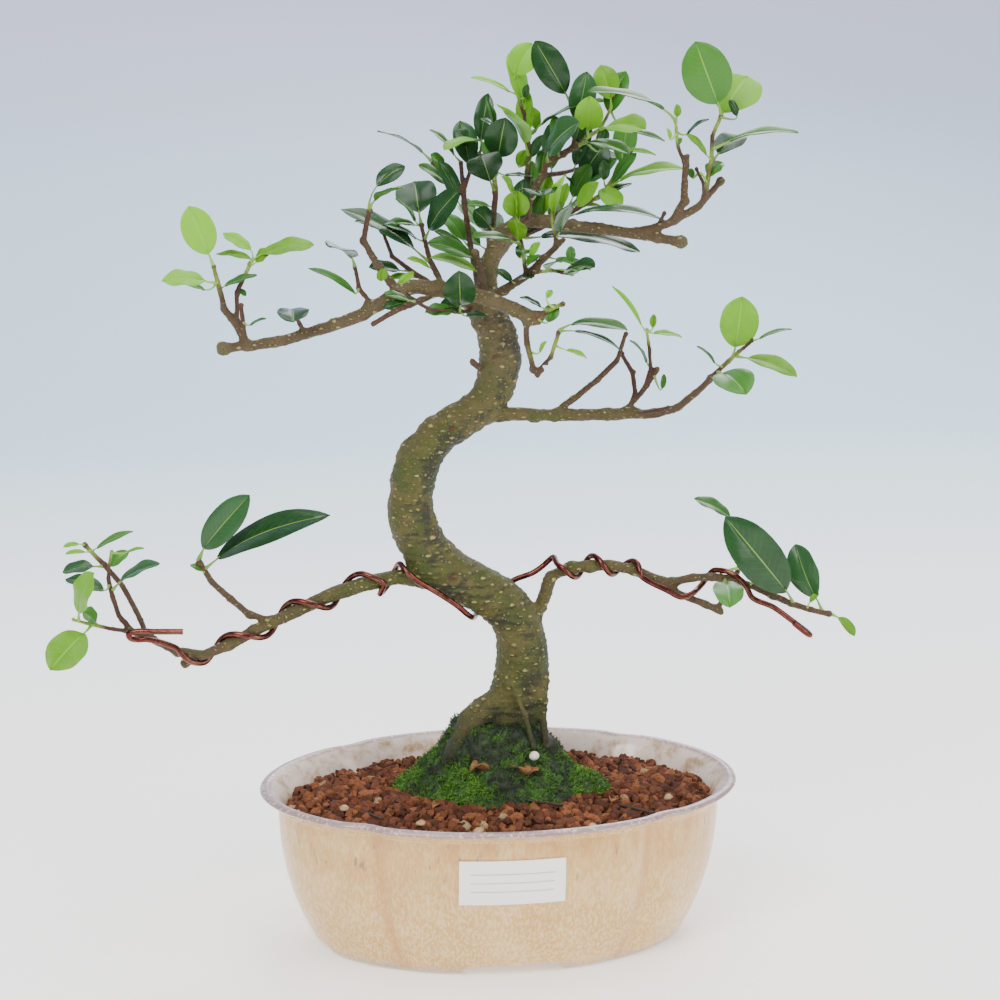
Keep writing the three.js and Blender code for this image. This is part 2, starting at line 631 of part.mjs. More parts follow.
// A leaf springs from its limb's bark, or from the limb's end, and reaches to its tip.
// Its upper side looks towards the face direction, and its halves fold up along the midrib.
function leafGeometry(limb, at, tip, face, width) {
  const origin = limb.pointAt(at);
  const growth = limb.curve.getTangentAt(at);
  const end = new THREE.Vector3(...tip);
  const away = end.clone().sub(origin);
  if (at < 1) away.addScaledVector(growth, -away.dot(growth)).normalize();
  else away.copy(growth);
  const reach = at < 1 ? limb.radiusAt(at) + petioleRadius + clearance : petioleRadius + clearance;
  const base = origin.addScaledVector(away, reach);
  const length = base.distanceTo(end);
  const along = end.clone().sub(base).normalize();
  const top = new THREE.Vector3(...face);
  top.addScaledVector(along, -top.dot(along)).normalize();
  const knee = base.clone().lerp(end, 0.45).addScaledVector(top, 2 * leafArch * length);
  const midrib = new THREE.QuadraticBezierCurve3(base, knee, end);
  const petiole = Math.min(6, 0.18 * length) / length;
  const stations = [0, petiole];
  [0.12, 0.3, 0.5, 0.7, 0.86, 0.96, 1].forEach((share) => {
    stations.push(petiole + share * (1 - petiole));
  });
  const rings = stations.map((station) => {
    const share = Math.max(0, (station - petiole) / (1 - petiole));
    const half = Math.max(share > 0 ? 0.2 : petioleRadius, (width / 2) * bladeShape(share));
    const thick = share > 0 ? bladeThickness / 2 : petioleRadius;
    const tangent = midrib.getTangentAt(station);
    const side = new THREE.Vector3().crossVectors(tangent, top).normalize();
    const normal = new THREE.Vector3().crossVectors(side, tangent).normalize();
    const point = midrib.getPointAt(station);
    const lift = share > 0 ? foldSlope * half : 0;
    const corner = (across, up) => {
      return point.clone().addScaledVector(side, across).addScaledVector(normal, up);
    };
    return [corner(-half, lift), corner(0, thick), corner(half, lift), corner(0, -thick)];
  });
  return loft(rings);
}

function addLeaf(name, limbName, at, tip, face, width, age) {
  const geometry = leafGeometry(limbs[limbName], at, tip, face, width);
  addMesh(plantGroup, `leaf_${name}`, geometry, finish(`leaf_${age}`, leafColours[age], 0.4));
}

addLeaf('left_1', 'left_shoot', 1, [-114, -16, 230], [0, -1, 0.4], 12.5, 'bright');
addLeaf('left_2', 'left_shoot', 0.6, [-124, -20, 203], [0, -0.6, 1], 10, 'bright');
addLeaf('left_3', 'left_shoot_back', 1, [-69, -8, 215], [0, -0.5, 1], 10, 'bright');
addLeaf('left_4', 'left_spur', 1, [-75, -28, 189], [0, -0.3, 1], 12, 'dark');
addLeaf('left_5', 'left_twig_c', 1, [-62, -24, 216], [0, -0.5, 1], 12, 'dark');
addLeaf('left_6', 'left_twig_f', 0.5, [-60, 8, 227], [0, -0.4, 1], 11, 'dark');
addLeaf('left_7', 'left_twig_f', 1, [-33, 28, 236], [0, -1, 0.4], 16, 'dark');
addLeaf('left_8', 'left_twig_d', 1, [-35, -20, 237], [0, 0, 1], 9, 'mid');
addLeaf('left_9', 'left_twig_f', 0.8, [-15, -5, 235], [-0.5, -1, 0.5], 11, 'dark');
addLeaf('centre_1', 'front_shoot', 0.6, [-10, -22, 219], [0, -0.3, 1], 10, 'mid');
addLeaf('centre_2', 'front_shoot', 1, [6, -20, 236], [0, -1, 0.2], 10, 'bright');
addLeaf('centre_3', 'crown_front', 0.9, [15, -30, 235], [0, -0.4, 1], 14, 'dark');
addLeaf('centre_4', 'trunk_twig', 0.35, [-15, -20, 207], [0, -1, 0.6], 12, 'dark');
addLeaf('crown_1', 'crown_top', 1, [12, 22, 288], [0, -1, 0.5], 11, 'bright');
addLeaf('crown_2', 'crown_tip', 1, [13, 14, 289], [-0.3, -1, 0.6], 12, 'dark');
addLeaf('crown_3', 'crown_top', 0.45, [-1, -2, 266], [0, -0.6, 1], 14, 'bright');
addLeaf('crown_4', 'crown_left', 0.9, [2, 8, 261], [0, -1, 0.4], 13, 'dark');
addLeaf('crown_5', 'crown_left', 0.7, [-7, 0, 248], [-0.3, -1, 1], 14, 'dark');
addLeaf('crown_6', 'tall_right', 1, [-21, 10, 249], [0, -0.1, 1], 9, 'bright');
addLeaf('crown_7', 'tall_left', 1, [-46, 10, 256], [0, -0.1, 1], 10, 'dark');
addLeaf('crown_8', 'crown_behind', 1, [-3, 62, 213], [0, 0.3, 1], 14, 'dark');
addLeaf('crown_9', 'crown_main', 0.8, [29, -5, 260], [-0.5, -1, 0.8], 14, 'dark');
addLeaf('crown_10', 'crown_top', 0.6, [39, 10, 267], [0, -0.2, 1], 11, 'mid');
addLeaf('crown_11', 'crown_far', 0.45, [33, 2, 269], [0, -1, 0.5], 11, 'bright');
addLeaf('crown_12', 'crown_far', 1, [38, 20, 280], [0, -1, 0.5], 10, 'bright');
addLeaf('crown_13', 'right_shoot', 1, [32, -10, 271], [0, -0.2, 1], 12, 'mid');
addLeaf('crown_14', 'crown_far', 0.65, [54, 0, 257], [0, -0.8, 1], 12, 'bright');
addLeaf('crown_15', 'crown_main', 1, [48, -2, 248], [0, -0.3, 1], 10, 'mid');
addLeaf('crown_16', 'crown_back', 1, [44, 58, 240], [0, 0.2, 1], 15, 'dark');
addLeaf('crown_17', 'crown_right', 0.8, [69, 10, 242], [0, -0.4, 1], 10, 'bright');
addLeaf('crown_18', 'crown_right', 0.45, [60, 2, 224], [0, -0.2, 1], 10, 'dark');
addLeaf('crown_19', 'crown_right', 0.2, [54, 26, 209], [0, -0.3, 1], 14, 'dark');
addLeaf('right_1', 'right_top', 1, [71, -8, 289], [-0.3, -1, 0.4], 18, 'mid');
addLeaf('right_2', 'right_top', 0.9, [93, 16, 276], [0, -0.8, 1], 20, 'bright');
addLeaf('right_3', 'right_top', 0.45, [92, 22, 254], [0, -0.5, 1], 11, 'dark');
addLeaf('right_4', 'right_top', 0.6, [110, -4, 256], [0, -0.2, 1], 10, 'mid');
addLeaf('right_5', 'middle_end', 1, [92, 8, 194], [0, -1, 0.2], 15, 'bright');
addLeaf('right_6', 'middle_tip', 0.3, [112, -4, 165], [0, -0.4, 1], 10, 'bright');
addLeaf('right_7', 'middle_end', 0.6, [92, -14, 160], [0, -0.8, 0.8], 15, 'mid');
addLeaf('right_8', 'drop', 1, [47, -20, 185], [0, -0.2, 1], 10, 'mid');
addLeaf('low_1', 'low_end_a', 0.75, [-165, -20, 93], [0, -0.3, 1], 9, 'dark');
addLeaf('low_2', 'low_shoot', 0.9, [-147, -52, 101], [-1, -0.8, 0], 11, 'bright');
addLeaf('low_3', 'low_end_b', 0.8, [-126, -34, 100], [0, -0.3, 1], 9, 'dark');
addLeaf('low_4', 'low_shoot', 0.7, [-164, -55, 65], [0, -1, 0.6], 14, 'bright');
addLeaf('low_5', 'low_rise', 1, [-93, -25, 124], [0, -1, 0.4], 12, 'dark');
addLeaf('low_6', 'low_rise', 0.9, [-63, -28, 117], [0, -0.7, 1], 14, 'dark');
addLeaf('low_7', 'lower_right', 0.88, [87, 5, 109], [-0.3, -1, 0.5], 18, 'dark');
addLeaf('low_8', 'low_loop', 1, [77, 28, 111], [0, -0.2, 1], 10, 'mid');
addLeaf('low_9', 'lower_right', 0.97, [117, 22, 94], [-0.8, -1, 0.3], 13, 'dark');
addLeaf('low_10', 'lower_right', 0.68, [88, -12, 77], [0, -0.8, 1], 12, 'mid');
addLeaf('low_11', 'lower_right', 1, [140, 12, 59], [0, -0.3, 1], 6, 'bright');

// ---- The origin is the middle of the whole outline, on the surface it stands on ----

root.updateMatrixWorld(true);
const outline = new THREE.Box3().setFromObject(root, true);
root.position.set(
  -(outline.min.x + outline.max.x) / 2,
  -(outline.min.y + outline.max.y) / 2,
  -outline.min.z,
);

export default root;
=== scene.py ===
import json
import math
import random

import bpy
import numpy as np
from mathutils import Matrix, Vector, noise
from mathutils.bvhtree import BVHTree
from mathutils.kdtree import KDTree


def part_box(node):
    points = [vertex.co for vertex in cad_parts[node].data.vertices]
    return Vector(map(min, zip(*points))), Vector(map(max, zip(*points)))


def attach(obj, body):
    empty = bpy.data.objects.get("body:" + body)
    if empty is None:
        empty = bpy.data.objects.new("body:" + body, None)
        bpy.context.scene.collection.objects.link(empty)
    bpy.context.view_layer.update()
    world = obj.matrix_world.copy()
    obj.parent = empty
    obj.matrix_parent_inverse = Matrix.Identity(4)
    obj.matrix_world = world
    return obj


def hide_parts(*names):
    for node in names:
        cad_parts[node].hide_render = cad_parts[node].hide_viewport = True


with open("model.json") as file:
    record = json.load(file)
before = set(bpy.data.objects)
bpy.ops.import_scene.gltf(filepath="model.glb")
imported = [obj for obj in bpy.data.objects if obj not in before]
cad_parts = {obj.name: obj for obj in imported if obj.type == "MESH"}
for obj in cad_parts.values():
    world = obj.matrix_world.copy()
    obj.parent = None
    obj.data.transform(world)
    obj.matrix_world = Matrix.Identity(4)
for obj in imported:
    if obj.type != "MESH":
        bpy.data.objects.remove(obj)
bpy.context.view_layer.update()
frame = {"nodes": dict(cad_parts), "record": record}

bl_info = {
    "name": "Bonsai Tree in a Pot",
    "version": (1, 0, 0),
    "blender": (4, 5, 0),
    "location": "View3D > Sidebar > Bonsai",
    "description": "Models a small wired fig bonsai in its glazed pot, piece by piece",
    "category": "Object",
}

MM = 0.001
SLOTS = {part["node"]: part["material_slot"] for part in frame["record"]["subparts"]}

# Places that the frame gives: the pot's middle, and the level of the soil
POT_LOW, POT_HIGH = (Vector(corner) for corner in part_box("pot"))
POT_MIDDLE = (POT_LOW + POT_HIGH) / 2
SOIL_TOP = Vector(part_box("soil")[1]).z
MOSS_LOW, MOSS_HIGH = (Vector(corner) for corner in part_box("moss"))
MOSS_MIDDLE, MOSS_HALF = (MOSS_LOW + MOSS_HIGH) / 2, (MOSS_HIGH - MOSS_LOW) / 2
PLANT_TURN = math.radians(-7)


# ---------------------------------------------------------------- sizes and colours

def length(name, description, default, low=0.0):
    """A length in metres that a user can change."""
    return bpy.props.FloatProperty(
        name=name, description=description, default=default, min=low, unit="LENGTH",
        precision=5)


def colour(name, description, code):
    """A colour, given as an sRGB hex value."""
    return bpy.props.FloatVectorProperty(
        name=name, description=description, default=linear(code)[:3], size=3,
        subtype="COLOR", min=0, max=1)


def linear(code):
    """Turns an sRGB hex value into the linear colour that a shader takes."""
    parts = [int(code[i:i + 2], 16) / 255 for i in (1, 3, 5)]
    parts = [p / 12.92 if p <= 0.04045 else ((p + 0.055) / 1.055) ** 2.4 for p in parts]
    return (*parts, 1.0)


class BonsaiPotSettings(bpy.types.PropertyGroup):
    """Sizes and glaze colours of the pot."""
    lip_height: length("Lip height", "Height of the lip's outer band", 6 * MM)
    lip_overhang: length("Lip overhang", "How far the lip stands out from the wall", 7 * MM)
    wall: length("Wall", "Thickness of the wall", 5.5 * MM)
    foot_inset: length("Foot inset", "How far the foot stands in from the lip", 22 * MM)
    foot_width: length("Foot width", "Width of the ring that the feet are cut from", 9 * MM)
    foot_height: length("Foot height", "Height of the underside above the table", 5 * MM)
    notch_depth: length("Notch depth", "Depth of the grooves between the lobes", 2.6 * MM)
    cream: colour("Cream", "Main colour of the glaze", "#c39852")
    honey: colour("Honey", "Where the glaze has run thin over the clay", "#b97f33")
    mauve: colour("Mauve", "Grey-violet band on the lip", "#89747b")
    clay: colour("Clay", "Unglazed clay under the foot", "#b5a184")


class BonsaiSoilSettings(bpy.types.PropertyGroup):
    """Sizes and colours of the soil's granules."""
    grain: length("Granule", "Usual width of a granule", 4.3 * MM)
    pitch: length("Spacing", "Distance between neighbouring granules", 3.3 * MM)
    brown: colour("Brown", "Usual colour of a granule", "#6b3d27")
    # Dark is painted shade where the lower layer and the bed show between the top granules, and also the own
    # tone of some top granules.
    dark: colour("Dark", "Damp granules between the others", "#4b2a1b")
    rust: colour("Rust", "Freshly fired granules", "#915835")


class BonsaiMossSettings(bpy.types.PropertyGroup):
    """Size and colours of the moss shoots."""
    shoot: length("Shoot", "Length of a moss shoot", 2.0 * MM)
    shoots: bpy.props.IntProperty(name="Shoots", description="How many tufts", default=9000)
    fresh: colour("Fresh", "Growing tips", "#679a18")
    green: colour("Green", "Body of the cushions", "#355f17")
    deep: colour("Deep", "Old damp moss next to the trunk", "#1a2410")


class BonsaiWoodSettings(bpy.types.PropertyGroup):
    """Bark detail and colours."""
    voxel: length("Voxel", "Fineness of the grown surface", 0.55 * MM)
    ripple: length("Ripple", "Height of the bark's unevenness", 0.9 * MM)
    faces: bpy.props.IntProperty(
        name="Triangles", description="Most triangles in the finished wood", default=194000)
    olive: colour("Olive", "Trunk bark in the light", "#5d5526")
    lichen: colour("Lichen", "Green film on the bark", "#3e4c0e")
    pore: colour("Pore", "Pale breathing pores", "#c0b876")
    # Shade is painted shade at the trunk's foot, and also stands for damp bark near the soil.
    shade: colour("Shade", "Damp bark near the soil", "#24281a")
    branch: colour("Branch", "Bark of the branches", "#523d24")
    twig: colour("Twig", "Bark of the twigs", "#54301f")
    shoot: colour("Shoot", "This year's shoots", "#93ad45")


class BonsaiWireSettings(bpy.types.PropertyGroup):
    """Finish of the training wire."""
    brown: colour("Brown", "Dyed oxide film on the aluminium", "#55241f")


class BonsaiLeafSettings(bpy.types.PropertyGroup):
    """Thickness and colours of the leaves."""
    blade: length("Blade", "Thickness of a leaf blade", 0.3 * MM)
    bright: colour("Bright", "Young leaves", "#609708")
    mid: colour("Mid", "Leaves of this season", "#2e6312")
    dark: colour("Dark", "Last season's leaves", "#1a431c")
    vein: colour("Vein", "Midrib and side veins", "#9fc45c")


class BonsaiLabelSettings(bpy.types.PropertyGroup):
    """The paper label on the pot."""
    paper: colour("Paper", "White coated paper", "#f4f3f1")
    rule: colour("Rule", "Grey ruled lines", "#9a9a98")


class BonsaiStageSettings(bpy.types.PropertyGroup):
    """Camera and backdrop."""
    distance: length("Distance", "Level distance from the pot's middle to the lens", 0.825)
    height: length("Height", "Height of the lens above the table", 0.356)
    tilt: bpy.props.FloatProperty(
        name="Tilt", description="How far the lens looks down", default=math.radians(12.27),
        subtype="ANGLE")
    lens: bpy.props.FloatProperty(
        name="Lens", description="Focal length on a 36 mm sensor", default=79.2)
    floor: colour("Floor", "Pale floor near the pot", "#fbf8f5")
    backdrop: colour("Backdrop", "Lavender grey at the top of the backdrop", "#b4b7cc")
    middle: colour("Middle", "Pale blue between floor and top", "#bcd6e6")


# ---------------------------------------------------------------- small helpers

def deselect():
    """Clears the selection, so that an operator acts only on its own piece."""
    bpy.ops.object.select_all(action="DESELECT")


def pick(piece):
    """Makes one piece the only selected and the active one."""
    deselect()
    piece.select_set(True)
    bpy.context.view_layer.objects.active = piece


def named(piece, name):
    """Names a piece and its mesh alike."""
    piece.name = name
    piece.data.name = name
    return piece


def apply(piece, kind, **settings):
    """Adds a modifier, sets it and applies it."""
    pick(piece)
    modifier = piece.modifiers.new(kind.title(), kind)
    for key, value in settings.items():
        setattr(modifier, key, value)
    bpy.ops.object.modifier_apply(modifier=modifier.name)


def settle(piece):
    """Puts a piece's place into its mesh."""
    pick(piece)
    bpy.ops.object.transform_apply(location=True, rotation=True, scale=True)


def join(pieces, name):
    """Joins several pieces into one."""
    deselect()
    for piece in pieces:
        piece.select_set(True)
    bpy.context.view_layer.objects.active = pieces[0]
    bpy.ops.object.join()
    return named(bpy.context.object, name)


def finish_piece(piece, slot, *nodes):
    """Lets a piece ride with the object, and hides the CAD nodes it stands for."""
    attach(piece, "root")
    if nodes:
        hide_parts(*nodes)


def smooth(piece, angle=None):
    """Shades a piece smooth, or smooth up to an angle."""
    pick(piece)
    if angle is None:
        bpy.ops.object.shade_smooth()
    else:
        bpy.ops.object.shade_smooth_by_angle(angle=angle)


def plant(x, y, z):
    """A place in the turned plant, in millimetres from the pot's middle and the soil."""
    turned = Matrix.Rotation(PLANT_TURN, 3, "Z") @ Vector((x, y, z))
    return turned * MM + Vector((POT_MIDDLE.x, POT_MIDDLE.y, SOIL_TOP))


def coordinates(mesh):
    """A mesh's points as an array."""
    points = np.empty(len(mesh.vertices) * 3)
    mesh.vertices.foreach_get("co", points)
    return points.reshape(-1, 3)


def set_coordinates(mesh, points):
    """Moves a mesh's points."""
    mesh.vertices.foreach_set("co", np.asarray(points, dtype=float).ravel())
    mesh.update()


def set_attribute(mesh, name, values):
    """Stores one number a point, for a material to read."""
    layer = mesh.attributes.new(name, "FLOAT", "POINT")
    layer.data.foreach_set("value", np.asarray(values, dtype=float))


def cad_copy(node, name):
    """A merged copy of a CAD node's mesh, as a new piece."""
    copy = bpy.data.objects.new(name, frame["nodes"][node].data.copy())
    bpy.context.scene.collection.objects.link(copy)
    copy.data.materials.clear()
    pick(copy)
    bpy.ops.object.mode_set(mode="EDIT")
    bpy.ops.mesh.select_all(action="SELECT")
    bpy.ops.mesh.remove_doubles(threshold=0.002 * MM)
    bpy.ops.object.mode_set(mode="OBJECT")
    return copy


def surface_of(piece):
    """A tree of a piece's faces, for finding the nearest point on it."""
    mesh = piece.data
    points = [v.co.copy() for v in mesh.vertices]
    faces = [tuple(p.vertices) for p in mesh.polygons]
    return BVHTree.FromPolygons(points, faces)


def mesh_piece(name, points, faces):
    """A new piece from points and faces."""
    mesh = bpy.data.meshes.new(name)
    mesh.from_pydata([tuple(p) for p in points], [], faces)
    mesh.update()
    piece = bpy.data.objects.new(name, mesh)
    bpy.context.scene.collection.objects.link(piece)
    return piece


# ---------------------------------------------------------------- materials

# Settings that many nodes share
SOFT = {"interpolation_type": "SMOOTHSTEP"}
COLOUR = {"data_type": "RGBA"}
PLUS, LESS, TIMES = ({"operation": name} for name in ("ADD", "SUBTRACT", "MULTIPLY"))
GREATER, SIZE, FRACTION = ({"operation": name} for name in ("MAXIMUM", "ABSOLUTE", "FRACT"))


def new_material(name):
    """An empty material, and the function that adds one node to it."""
    made = bpy.data.materials.new(name)
    made.use_nodes = True
    tree = made.node_tree
    tree.nodes.clear()

    def add(kind, *values, out=None, **named):
        """Adds a node with its settings and links, and gives back one output socket.

        Its inputs take sockets or plain values, in order or by their capitalised names, and the
        names in lower case are settings.
        """
        node = tree.nodes.new("ShaderNode" + kind)
        for key, value in named.items():
            if key[0].islower():
                setattr(node, key, value)
        inputs = list(zip((socket for socket in node.inputs if socket.enabled), values))
        inputs += [(node.inputs[key.replace("_", " ")], value)
                   for key, value in named.items() if key[0].isupper()]
        for socket, value in inputs:
            if isinstance(value, bpy.types.NodeSocket):
                tree.links.new(value, socket)
            else:
                socket.default_value = (*value[:3], 1.0) if socket.type == "RGBA" else value
        outputs = [socket for socket in node.outputs if socket.enabled]
        return next((socket for socket in outputs if out in (None, socket.name)), None)

    return made, add


def wear(piece, *materials):
    """Gives a piece its materials."""
    piece.data.materials.clear()
    for each in materials:
        piece.data.materials.append(each)


def glaze_material(sizes):
    """Stoneware under a poured cream glaze: fine pale flecks, honey bands, a mauve crest."""
    made, add = new_material("poured_cream_glaze")
    where = add("TexCoord", out="Object")
    drop = add("SeparateXYZ", where, out="Z")
    cream, honey, mauve = sizes.cream, sizes.honey, sizes.mauve
    pale = linear("#e3cb9c")[:3]
    # Runs stretch down the wall, so their pattern is squeezed in height.
    stretched = add("Mapping", where, Scale=(1, 1, 0.3))
    runs = add("TexNoise", stretched, 1 / (5 * MM), 4.0, 0.6)
    drips = add("TexNoise", stretched, 1 / (2.6 * MM), 2.0, 0.5)
    cloud = add("TexNoise", where, 1 / (17 * MM), 4.0, 0.6)
    fleck = add("TexNoise", stretched, 1 / (0.9 * MM), 3.0, 0.65)
    speck = add("TexNoise", where, 1 / (1.6 * MM), 3.0, 0.7)
    # Crystals cloud the glaze with pale flecks, most of them low on the wall.
    crowd = add("Math", add("Math", cloud, 0.5, **TIMES),
                add("MapRange", drop, 56 * MM, 12 * MM, 0.08, 0.42, **SOFT), **PLUS)
    flecked = add("Math", add("MapRange", fleck, 0.44, 0.6, **SOFT), crowd, **TIMES)
    body = add("Mix", add("MapRange", cloud, 0.35, 0.7, **SOFT), cream, linear("#cfa866")[:3], **COLOUR)
    body = add("Mix", flecked, body, pale, **COLOUR)
    honeyed = add("Math", add("MapRange", drop, 34 * MM, 57 * MM, **SOFT),
                  add("MapRange", runs, 0.4, 0.66, **SOFT), **TIMES)
    body = add("Mix", add("Math", honeyed, 0.55, **TIMES), body, honey, **COLOUR)
    # Iron spots that have begun to run, just under the bead
    spots = add("Math", add("MapRange", drips, 0.62, 0.72, **SOFT),
                add("Math", add("MapRange", drop, 38 * MM, 47 * MM, **SOFT),
                    add("MapRange", drop, 57.5 * MM, 52 * MM, **SOFT), **TIMES), **TIMES)
    body = add("Mix", add("Math", spots, 0.75, **TIMES), body, linear("#6f5c50")[:3], **COLOUR)
    foot = add("Math", add("MapRange", drop, 5.5 * MM, 1.5 * MM, **SOFT),
               add("MapRange", runs, 0.3, 0.6, 0.35, 1.0, **SOFT), **TIMES)
    body = add("Mix", add("Math", foot, 0.6, **TIMES), body, linear("#a39b97")[:3], **COLOUR)
    groove = add("Attribute", attribute_name="groove", out="Fac")
    body = add("Mix",
               add("Math", groove, add("MapRange", cloud, 0.3, 0.6, 0.35, 0.75, **SOFT), **TIMES), body,
               honey, **COLOUR)
    bead = add("MapRange", add("Math", add("Math", drop, 59.6 * MM, **LESS), **SIZE), 0.9 * MM,
               0.3 * MM, **SOFT)
    body = add("Mix", add("Math", bead, add("MapRange", fleck, 0.35, 0.6, 0.3, 0.9, **SOFT), **TIMES),
               body, pale, **COLOUR)
    band = add("Math", add("MapRange", drop, 60.0 * MM, 61.0 * MM, **SOFT), 0.8, **TIMES)
    body = add("Mix", band, body, add("Mix", add("MapRange", runs, 0.35, 0.65, **SOFT),
                                      linear("#c2924c")[:3], linear("#d9b57c")[:3], **COLOUR), **COLOUR)
    crest = add("Math", add("MapRange", drop, 62.4 * MM, 63.4 * MM, **SOFT), 0.9, **TIMES)
    body = add("Mix", crest, body, add("Mix", add("MapRange", speck, 0.5, 0.7, **SOFT), mauve,
                                       linear("#cdbfb2")[:3], **COLOUR), **COLOUR)
    inner = add("Attribute", attribute_name="inner", out="Fac")
    stain = add("MapRange", add("TexNoise", where, 1 / (9 * MM), 5.0, 0.65), 0.42, 0.68, **SOFT)
    inside = add("Mix", stain, linear("#d3c2b6")[:3], linear("#a38359")[:3], **COLOUR)
    body = add("Mix", add("Math", inner, add("MapRange", drop, 64.7 * MM, 63.6 * MM, 0.1, 1.0, **SOFT),
                          **TIMES), body, inside, **COLOUR)
    bare = add("Attribute", attribute_name="bare", out="Fac")
    body = add("Mix", bare, body, sizes.clay, **COLOUR)
    rough = add("Math", 0.16, add("Math", speck, 0.18, **TIMES), **PLUS)
    rough = add("Math", rough, add("Math", bare, 0.85, **TIMES), **GREATER)
    wave = add("Math", runs, add("Math", speck, 0.35, **TIMES), **PLUS)
    bump = add("Bump", Strength=0.6, Distance=0.35 * MM, Height=wave)
    add("OutputMaterial", add("BsdfPrincipled", Base_Color=body, Roughness=rough, IOR=1.52,
                              Coat_Weight=0.3, Coat_Roughness=0.08, Normal=bump))
    return made


def soil_material(sizes):
    """Fired clay granules and fine bark: matt, porous, a different tone on every grain."""
    made, add = new_material("fired_clay_granules")
    where = add("TexCoord", out="Object")
    tone = add("Attribute", attribute_name="tone", out="Fac")
    grain = add("TexNoise", where, 1 / (0.7 * MM), 4.0, 0.7)
    # Low tones go to the dark colour: on the top layer a grain's own tone, in the lower layer and the bed
    # painted shade between the granules.
    body = add("Mix", add("MapRange", tone, 0.0, 0.5, **SOFT), sizes.dark, sizes.brown, **COLOUR)
    body = add("Mix", add("MapRange", tone, 0.55, 0.95, **SOFT), body, sizes.rust, **COLOUR)
    body = add("Mix", add("MapRange", tone, 0.985, 0.99, **SOFT), body, linear("#a98f6b")[:3], **COLOUR)
    body = add("Mix", add("MapRange", grain, 0.3, 0.75, **SOFT),
               add("Mix", 0.5, body, (0.02, 0.012, 0.01), **COLOUR), body, **COLOUR)
    bump = add("Bump", Strength=0.9, Distance=0.5 * MM, Height=grain)
    add("OutputMaterial", add("BsdfPrincipled", Base_Color=body, Roughness=0.92,
                              Specular_IOR_Level=0.25, Normal=bump))
    return made


def moss_material(sizes):
    """Cushion moss: fresh tips over dark damp growth."""
    made, add = new_material("cushion_moss")
    fresh = add("Attribute", attribute_name="fresh", out="Fac")
    where = add("TexCoord", out="Object")
    patch = add("TexNoise", where, 1 / (5 * MM), 3.0, 0.6)
    mixed = add("Math", fresh, add("Math", add("Math", patch, 0.5, **LESS), 0.7, **TIMES), **PLUS)
    body = add("Mix", add("MapRange", mixed, 0.0, 0.5, **SOFT), sizes.deep, sizes.green, **COLOUR)
    body = add("Mix", add("MapRange", mixed, 0.5, 1.0, **SOFT), body, sizes.fresh, **COLOUR)
    add("OutputMaterial", add("BsdfPrincipled", Base_Color=body, Roughness=0.75,
                              Subsurface_Weight=0.1, Subsurface_Scale=0.8 * MM,
                              Subsurface_Radius=(0.5, 1.0, 0.2)))
    return made


